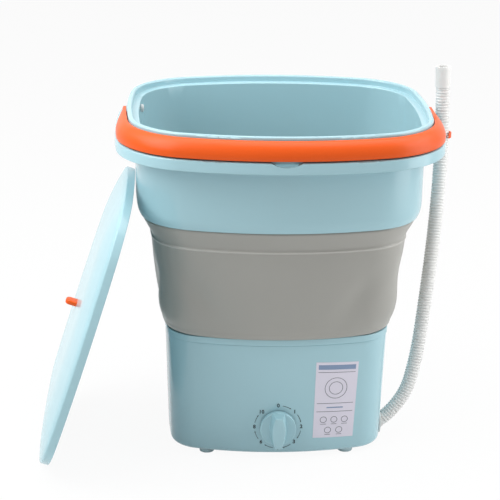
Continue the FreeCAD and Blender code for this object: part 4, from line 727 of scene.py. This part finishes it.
def make_drain_hose(looks):
    shape = looks.hose
    line = spline_points("hose_route", HOSE_ROUTE, shape.route_steps)
    source = new_piece("hose_source", line)
    sizes = values_of(shape, HOSE_INPUTS)
    use_tree(source, "Ribs", hose_tree(bpy.data.materials["white_hose_plastic"], sizes), sizes)
    thicken(source, shape.wall)
    hose = finished_piece(source, "ribbed_hose")
    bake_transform(hose)
    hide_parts("drain_hose")


# Soft folding wall

def loop_mesh(name, places):
    """Mesh of one closed ring of edges."""
    mesh = bpy.data.meshes.new(name)
    count = len(places)
    mesh.from_pydata(places, [(index, (index + 1) % count) for index in range(count)], [])
    return mesh


def wall_section(shape):
    """Closed section of the folding wall in reach and height: up the outside and down the inside."""
    line = spline_points("wall_line", [(out, up, 0.0) for up, out in WALL_LINE], shape.line_steps)
    outside = [vertex.co.copy() for vertex in line.vertices]
    bpy.data.meshes.remove(line)
    inside = [place - Vector((shape.thickness, 0.0, 0.0)) for place in outside]
    reach, top, _ = outside[-1]
    tongue = reach - shape.tongue_inset
    heel = -shape.foot_inset
    upper_tongue = [
        (tongue, top, 0.0),
        (tongue, top + shape.tongue, 0.0),
        (tongue - shape.thickness, top + shape.tongue, 0.0),
        (tongue - shape.thickness, top - shape.thickness, 0.0),
    ]
    lower_tongue = [
        (heel - shape.thickness, shape.thickness, 0.0),
        (heel - shape.thickness, -shape.foot, 0.0),
        (heel, -shape.foot, 0.0),
        (heel, outside[0].y, 0.0),
    ]
    lining = [place for place in inside if 2 * shape.thickness < place.y < top - 2 * shape.thickness]
    section = outside + upper_tongue + lining[::-1] + lower_tongue
    # The sweep lays the section's y downwards
    return [(place[0], -place[1], 0.0) for place in reversed(section)]


def wall_plan(plan):
    """Ring of edges round the collar's top that keeps each point's way out and distance from a corner."""
    back_right = 3
    columns = plan_columns(plan)
    places = [plan_point(plan, column, COLLAR_HIGH.x, COLLAR_HIGH.z) for column in columns]
    x, y, radius, start, end = plan_arcs(plan)[back_right]
    corner = plan_point(plan, (x, y, radius, (start + end) / 2), COLLAR_HIGH.x, COLLAR_HIGH.z)
    mesh = loop_mesh("wall_plan", places)
    away = mesh.attributes.new("away", "FLOAT", "POINT")
    outward = mesh.attributes.new("outward", "FLOAT_VECTOR", "POINT")
    for index, (place, (_, _, _, turn)) in enumerate(zip(places, columns)):
        away.data[index].value = (Vector((abs(place.x), abs(place.y), place.z)) - corner).length
        outward.data[index].vector = (math.cos(turn), math.sin(turn), 0.0)
    return mesh


def bell(tree, value, middle, reach):
    """Node that gives 1 at a middle value and falls off softly on both sides."""
    away = math_node(tree, "DIVIDE", math_node(tree, "SUBTRACT", value, middle), reach)
    square = math_node(tree, "MULTIPLY", away, away)
    return math_node(tree, "POWER", math.e, math_node(tree, "MULTIPLY", square, -1.0))


def wall_tree(material, sizes):
    """Node tree that sweeps the wall's section round its plan, then swells, tucks and folds its corners."""
    tree, size = new_tree("folding_wall", sizes)
    ring = add_node(tree, "GeometryNodeMeshToCurve", {"Mesh": size["Geometry"]})
    upright = add_node(tree, "GeometryNodeSetCurveNormal", {"Curve": ring}, mode="Z_UP")
    section = add_node(tree, "GeometryNodeObjectInfo", {"Object": size["Section"]}).outputs["Geometry"]
    profile = add_node(tree, "GeometryNodeMeshToCurve", {"Mesh": section})
    sweep = add_node(tree, "GeometryNodeCurveToMesh", {"Curve": upright, "Profile Curve": profile})
    place = add_node(tree, "GeometryNodeInputPosition")
    height = add_node(tree, "ShaderNodeSeparateXYZ", {"Vector": place}).outputs["Z"]
    away = named_value(tree, "away", "FLOAT")
    outward = named_value(tree, "outward", "FLOAT_VECTOR")
    over = math_node(tree, "SUBTRACT", height, size["Floor"])
    # Painted highlight: a soft band at the crease's height, stored as the crease attribute for the finish
    painted_highlight = bell(tree, over, size["Crease"], size["Crease reach"])
    # Each lower corner swells over a drawn-in foot, and a fold slants up to it from both sides
    beside = bell(tree, away, 0.0, size["Swell width"])
    swell_share = bell(tree, over, size["Swell height"], size["Swell reach"])
    swell = math_node(tree, "MULTIPLY", swell_share, size["Swell"])
    tuck = math_node(tree, "MULTIPLY", bell(tree, over, 0.0, size["Tuck reach"]), size["Tuck"])
    corner = math_node(tree, "MULTIPLY", beside, math_node(tree, "SUBTRACT", swell, tuck))
    slant = math_node(tree, "MULTIPLY", over, size["Fold slope"])
    fold_place = math_node(tree, "SUBTRACT", size["Fold start"], slant)
    across = bell(tree, away, fold_place, size["Fold width"])
    along = bell(tree, over, size["Fold height"], size["Fold reach"])
    fold = math_node(tree, "MULTIPLY", math_node(tree, "MULTIPLY", across, along), size["Fold depth"])
    reach = math_node(tree, "SUBTRACT", corner, fold)
    offset = add_node(tree, "ShaderNodeVectorMath", {0: outward, "Scale": reach}, operation="SCALE")
    inputs = {"Geometry": sweep, "Name": "crease", "Value": painted_highlight}
    creased = add_node(tree, "GeometryNodeStoreNamedAttribute", inputs)
    move = add_node(tree, "GeometryNodeSetPosition", {"Geometry": creased, "Offset": offset})
    finish_tree(tree, move, material)
    return tree


def make_folding_wall(looks):
    shape = looks.wall
    section = new_piece("wall_section", loop_mesh("wall_section", wall_section(shape)))
    source = new_piece("wall_source", wall_plan(looks.plan))
    sizes = values_of(shape, WALL_INPUTS)
    sizes["Floor"] = COLLAR_HIGH.z
    sizes["Section"] = section
    use_tree(source, "Sweep", wall_tree(bpy.data.materials["soft_grey_wall"], sizes), sizes)
    wall = finished_piece(source, "folding_wall")
    bpy.data.objects.remove(section)
    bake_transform(wall)
    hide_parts("bellows")


# Print round the dial

def figure_mesh(text, dial):
    """Flat mesh of a figure, centred, in x and z."""
    curve = bpy.data.curves.new("figure", "FONT")
    curve.body = text
    curve.size = dial.figure
    curve.offset = dial.weight
    curve.align_x = "CENTER"
    curve.align_y = "CENTER"
    curve.resolution_u = dial.figure_steps
    mesh = curve_mesh(curve, "figure")
    mesh.transform(Matrix.Rotation(math.radians(90), 4, "X"))
    return mesh


def ring_place(radius, turn):
    """Point of a circle in x and z, by its angle clockwise from the top."""
    return Vector((radius * math.sin(turn), 0.0, radius * math.cos(turn)))


def arrow_mesh(dial, spacing):
    """Flat thin arc with a pointed end, clockwise from the first mark towards the second."""
    head = dial.head / dial.radius
    start, end = dial.gap, spacing - dial.gap
    turns = [start + (end - head - start) * step / dial.steps for step in range(dial.steps + 1)]
    outer = [ring_place(dial.radius + dial.line / 2, turn) for turn in turns]
    inner = [ring_place(dial.radius - dial.line / 2, turn) for turn in turns]
    point = [
        ring_place(dial.radius + dial.head_width / 2, end - head),
        ring_place(dial.radius, end),
        ring_place(dial.radius - dial.head_width / 2, end - head),
    ]
    outline = outer + point + inner[::-1]
    mesh = bpy.data.meshes.new("arrow")
    mesh.from_pydata(outline, [], [list(range(len(outline)))])
    return mesh


def arrows_tree(material, values):
    """Node tree that sets copies of an arrow round the dial's middle."""
    tree, size = new_tree("dial_arrows", values)
    index = add_node(tree, "GeometryNodeInputIndex")
    around = math_node(tree, "MULTIPLY", index, size["Spacing"])
    turn = add_node(tree, "ShaderNodeCombineXYZ", {"Y": around})
    rotation = add_node(tree, "FunctionNodeEulerToRotation", {"Euler": turn})
    points = add_node(tree, "GeometryNodePoints", {"Count": size["Count"]})
    inputs = {"Points": points, "Instance": size["Geometry"], "Rotation": rotation}
    finish_tree(tree, add_node(tree, "GeometryNodeInstanceOnPoints", inputs), material)
    return tree


def lay_print(name, mesh, plan, lift, thickness):
    """Piece of thin print or paper on the base's front, from a flat mesh in x and z that faces the front."""
    on_base_front(plan, mesh, lift)
    source = new_piece(name + "_source", mesh)
    thicken(source, thickness)
    piece = finished_piece(source, name)
    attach(piece, "base")
    return piece


def face_front(work):
    """Turn every face of a flat bmesh to the front."""
    bmesh.ops.triangulate(work, faces=[face for face in work.faces if len(face.verts) > 4])
    work.normal_update()
    for face in work.faces:
        if face.normal.y > 0:
            face.normal_flip()


def make_dial_print(looks):
    dial = looks.dial
    middle = Matrix.Translation((KNOB_LOW + KNOB_HIGH) / 2)
    spacing = 2 * math.pi / len(DIAL_MARKS)
    ink = moulded_plastic("dial_ink", looks.colours.print, roughness=0.55, flow=0.05)
    source = new_piece("arrow_source", arrow_mesh(dial, spacing))
    values = {"Count": len(DIAL_MARKS) - 1, "Spacing": spacing}
    use_tree(source, "Round the dial", arrows_tree(ink, values), values)
    arrows = evaluated_mesh(source, "dial_arrows")

    def build(work):
        work.from_mesh(arrows)
        for index, mark in enumerate(DIAL_MARKS):
            figure = figure_mesh(mark, dial)
            figure.transform(Matrix.Translation(ring_place(dial.radius, index * spacing)))
            work.from_mesh(figure)
            bpy.data.meshes.remove(figure)
        bmesh.ops.transform(work, matrix=middle, verts=work.verts)
        for vertex in work.verts:
            vertex.co.y = 0.0
        face_front(work)

    mesh = mesh_from(build, "dial_print", ink)
    piece = lay_print("dial_print", mesh, looks.plan, dial.lift, dial.thickness)


# Plain sticker

def sticker_place(across, up):
    """Point of the sticker in x and z, from shares of its width and height."""
    top_left, top_right, low_right, low_left = [Vector(corner) for corner in STICKER_CORNERS]
    place = low_left.lerp(low_right, across).lerp(top_left.lerp(top_right, across), up)
    return Vector((place.x, 0.0, place.y))


def add_bar(work, shape, left, right, low, high, ink):
    """Upright patch of the sticker from shares of its width and height."""
    columns = max(1, math.ceil((right - left) * shape.columns))
    for column in range(columns):
        start = left + (right - left) * column / columns
        end = left + (right - left) * (column + 1) / columns
        corners = [sticker_place(*share) for share in ((start, low), (end, low), (end, high), (start, high))]
        face = work.faces.new([work.verts.new(corner) for corner in corners])
        face.material_index = ink


def add_ring(work, shape, across, up, radius, ink):
    """Thin ring on the sticker; its radius is a length."""
    middle = sticker_place(across, up)
    turns = [2 * math.pi * step / shape.ring_steps for step in range(shape.ring_steps)]
    inner = [work.verts.new(middle + ring_place(radius - shape.line, turn)) for turn in turns]
    outer = [work.verts.new(middle + ring_place(radius, turn)) for turn in turns]
    for index in range(shape.ring_steps):
        ahead = (index + 1) % shape.ring_steps
        face = work.faces.new((inner[index], inner[ahead], outer[ahead], outer[index]))
        face.material_index = ink


def join_print(work):
    """Join the patches of the sticker and turn them to the front."""
    bmesh.ops.remove_doubles(work, verts=work.verts, dist=PRINT_JOIN)
    face_front(work)


def make_sticker(looks):
    shape, colours = looks.sticker, looks.colours
    paper, band, line = 0, 1, 2

    def build_paper(work):
        add_bar(work, shape, 0.0, 1.0, 0.0, 1.0, paper)
        join_print(work)

    def build_print(work):
        left, right = STICKER_MARGIN, 1.0 - STICKER_MARGIN
        add_bar(work, shape, left, right, *BAND_HEIGHTS, band)
        for height in RULE_HEIGHTS:
            add_bar(work, shape, left, right, height, height + shape.rule, line)
        for radius in (shape.drum, shape.drum_middle):
            add_ring(work, shape, *DRUM_PLACE, radius, line)
        add_bar(work, shape, *BAR_EDGES, band)
        for across, up in SIGN_PLACES:
            start, end = across - SIGN_RULE_REACH, across + SIGN_RULE_REACH
            low = up - SIGN_RULE_DROP
            add_ring(work, shape, across, up, shape.sign, line)
            add_bar(work, shape, start, end, low, low + shape.rule, line)
        join_print(work)

    finishes = [
        moulded_plastic("sticker_" + name, colour, roughness=0.42)
        for name, colour in (("paper", colours.paper), ("band", colours.band), ("line", colours.line))
    ]
    for name, build, lift in (("sticker_paper", build_paper, shape.lift),
                              ("sticker_print", build_print, shape.lift + shape.ink)):
        mesh = mesh_from(build, name, finishes[0])
        for finish in finishes[1:]:
            mesh.materials.append(finish)
        piece = lay_print(name, mesh, looks.plan, lift, shape.ink)


# Studio

def camera_matrix(studio):
    """Place and turn of a camera that looks at the target from an azimuth and elevation, with a roll."""
    side, rise = studio.azimuth, studio.elevation
    back = Vector((math.sin(side) * math.cos(rise), -math.cos(side) * math.cos(rise), math.sin(rise)))
    right = Vector((math.cos(side), math.sin(side), 0.0))
    up = back.cross(right)
    rolled_right = right * math.cos(studio.roll) + up * math.sin(studio.roll)
    rolled_up = up * math.cos(studio.roll) - right * math.sin(studio.roll)
    turn = Matrix((rolled_right, rolled_up, back)).transposed().to_4x4()
    return Matrix.Translation(Vector(studio.target) + back * studio.distance) @ turn


def seen_directly(tree):
    """Node that gives 1 for what the camera sees, straight or in a mirror or through glass."""
    path = add_node(tree, "ShaderNodeLightPath").outputs
    mirror = math_node(tree, "MAXIMUM", path["Is Glossy Ray"], path["Is Transmission Ray"])
    return math_node(tree, "MAXIMUM", path["Is Camera Ray"], mirror)


def mix_surface(tree, output, share, plain, white):
    """Surface that shows a share of plain white over what other rays meet."""
    mix = add_node(tree, "ShaderNodeMixShader", {"Fac": share, 1: plain, 2: white})
    tree.links.new(mix.outputs["Shader"], output.inputs["Surface"])


def floor_finish(studio):
    """White floor that keeps a soft shadow."""
    finish = bpy.data.materials.new("studio_floor")
    tree, output = empty_nodes(finish, "ShaderNodeOutputMaterial")
    paint = add_node(tree, "ShaderNodeBsdfDiffuse", {"Color": (studio.floor_paint,) * 3 + (1.0,)})
    white = add_node(tree, "ShaderNodeEmission")
    share = math_node(tree, "MULTIPLY", seen_directly(tree), studio.floor_white)
    mix_surface(tree, output, share, paint, white)
    return finish


def make_world(studio):
    """Even light, with a white room for what the camera sees."""
    world = bpy.data.worlds.new("studio")
    tree, output = empty_nodes(world, "ShaderNodeOutputWorld")
    light = add_node(tree, "ShaderNodeBackground", {"Color": WHITE, "Strength": studio.room_light})
    white = add_node(tree, "ShaderNodeBackground", {"Color": WHITE})
    mix_surface(tree, output, seen_directly(tree), light, white)
    bpy.context.scene.world = world


def add_lamp(name, place, size, power, target):
    lamp = bpy.data.lights.new(name, "AREA")
    lamp.shape = "RECTANGLE"
    lamp.size, lamp.size_y = size
    lamp.energy = power
    holder = new_piece(name, lamp)
    holder.location = place
    holder.rotation_euler = (target - Vector(place)).to_track_quat("-Z", "Y").to_euler()


def make_studio(looks):
    studio = looks.studio
    scene = bpy.context.scene
    scene.view_settings.view_transform = "Standard"
    view = bpy.data.cameras.new("camera")
    view.sensor_width = studio.sensor
    view.lens = studio.lens
    camera = new_piece("camera", view)
    camera.matrix_world = camera_matrix(studio)
    scene.camera = camera

    def build(work):
        parts = studio.floor_parts
        bmesh.ops.create_grid(work, x_segments=parts, y_segments=parts, size=studio.floor_size)
        bmesh.ops.translate(work, verts=work.verts, vec=(0.0, 0.0, -studio.floor_drop))

    floor = new_piece("studio_floor", mesh_from(build, "studio_floor", floor_finish(studio)))
    make_world(studio)
    target = Vector(studio.target)
    for name, place, size in LAMPS:
        add_lamp(name + "_lamp", place, size, getattr(studio, name), target)


# Operators, in the order in which they are called

class WASHER_OT_studio(bpy.types.Operator):
    """White studio with the photograph's view"""
    bl_idname = "washer.studio"
    bl_label = "Studio"

    def execute(self, context):
        make_studio(context.scene.washer_looks)
        return {"FINISHED"}


class WASHER_OT_finishes(bpy.types.Operator):
    """Finishes of the rigid pieces"""
    bl_idname = "washer.finishes"
    bl_label = "Finishes"

    def execute(self, context):
        finish_nodes(context.scene.washer_looks)
        return {"FINISHED"}


class WASHER_OT_drain_hose(bpy.types.Operator):
    """Ribbed drain hose from the outlet up to its cuff"""
    bl_idname = "washer.drain_hose"
    bl_label = "Drain hose"

    def execute(self, context):
        make_drain_hose(context.scene.washer_looks)
        return {"FINISHED"}


class WASHER_OT_folding_wall(bpy.types.Operator):
    """Soft wall between the collar and the tub, built open; on the washer it folds when the tub goes down"""
    bl_idname = "washer.folding_wall"
    bl_label = "Folding wall"

    def execute(self, context):
        make_folding_wall(context.scene.washer_looks)
        return {"FINISHED"}


class WASHER_OT_dial_print(bpy.types.Operator):
    """Figures and arrows round the dial"""
    bl_idname = "washer.dial_print"
    bl_label = "Dial print"

    def execute(self, context):
        make_dial_print(context.scene.washer_looks)
        return {"FINISHED"}


class WASHER_OT_sticker(bpy.types.Operator):
    """Plain sticker on the front of the base"""
    bl_idname = "washer.sticker"
    bl_label = "Sticker"

    def execute(self, context):
        make_sticker(context.scene.washer_looks)
        return {"FINISHED"}


SETTINGS = (PlanShape, Colours, HoseShape, WallShape, DialPrint, Sticker, Studio, WasherLooks)
OPERATORS = (
    WASHER_OT_studio,
    WASHER_OT_finishes,
    WASHER_OT_drain_hose,
    WASHER_OT_folding_wall,
    WASHER_OT_dial_print,
    WASHER_OT_sticker,
)


class WASHER_PT_looks(bpy.types.Panel):
    """Settings and steps of the washer's looks"""
    bl_idname = "WASHER_PT_looks"
    bl_label = "Folding washer"
    bl_space_type = "VIEW_3D"
    bl_region_type = "UI"
    bl_category = "Washer"

    def draw(self, context):
        looks = context.scene.washer_looks
        for part in ("plan", "colours", "hose", "wall", "dial", "sticker", "studio"):
            box = self.layout.box()
            box.label(text=looks.bl_rna.properties[part].name)
            settings = getattr(looks, part)
            for name in settings.__annotations__:
                box.prop(settings, name)
        for operator in OPERATORS:
            self.layout.operator(operator.bl_idname)


def register():
    for kind in SETTINGS + OPERATORS + (WASHER_PT_looks,):
        bpy.utils.register_class(kind)
    bpy.types.Scene.washer_looks = group(WasherLooks, "Washer looks", "Settings of the washer's looks")


def unregister():
    del bpy.types.Scene.washer_looks
    for kind in reversed(SETTINGS + OPERATORS + (WASHER_PT_looks,)):
        bpy.utils.unregister_class(kind)


def main():
    register()
    bpy.ops.washer.studio()
    bpy.ops.washer.finishes()
    bpy.ops.washer.drain_hose()
    bpy.ops.washer.folding_wall()
    bpy.ops.washer.dial_print()
    bpy.ops.washer.sticker()


if __name__ == "__main__":
    main()
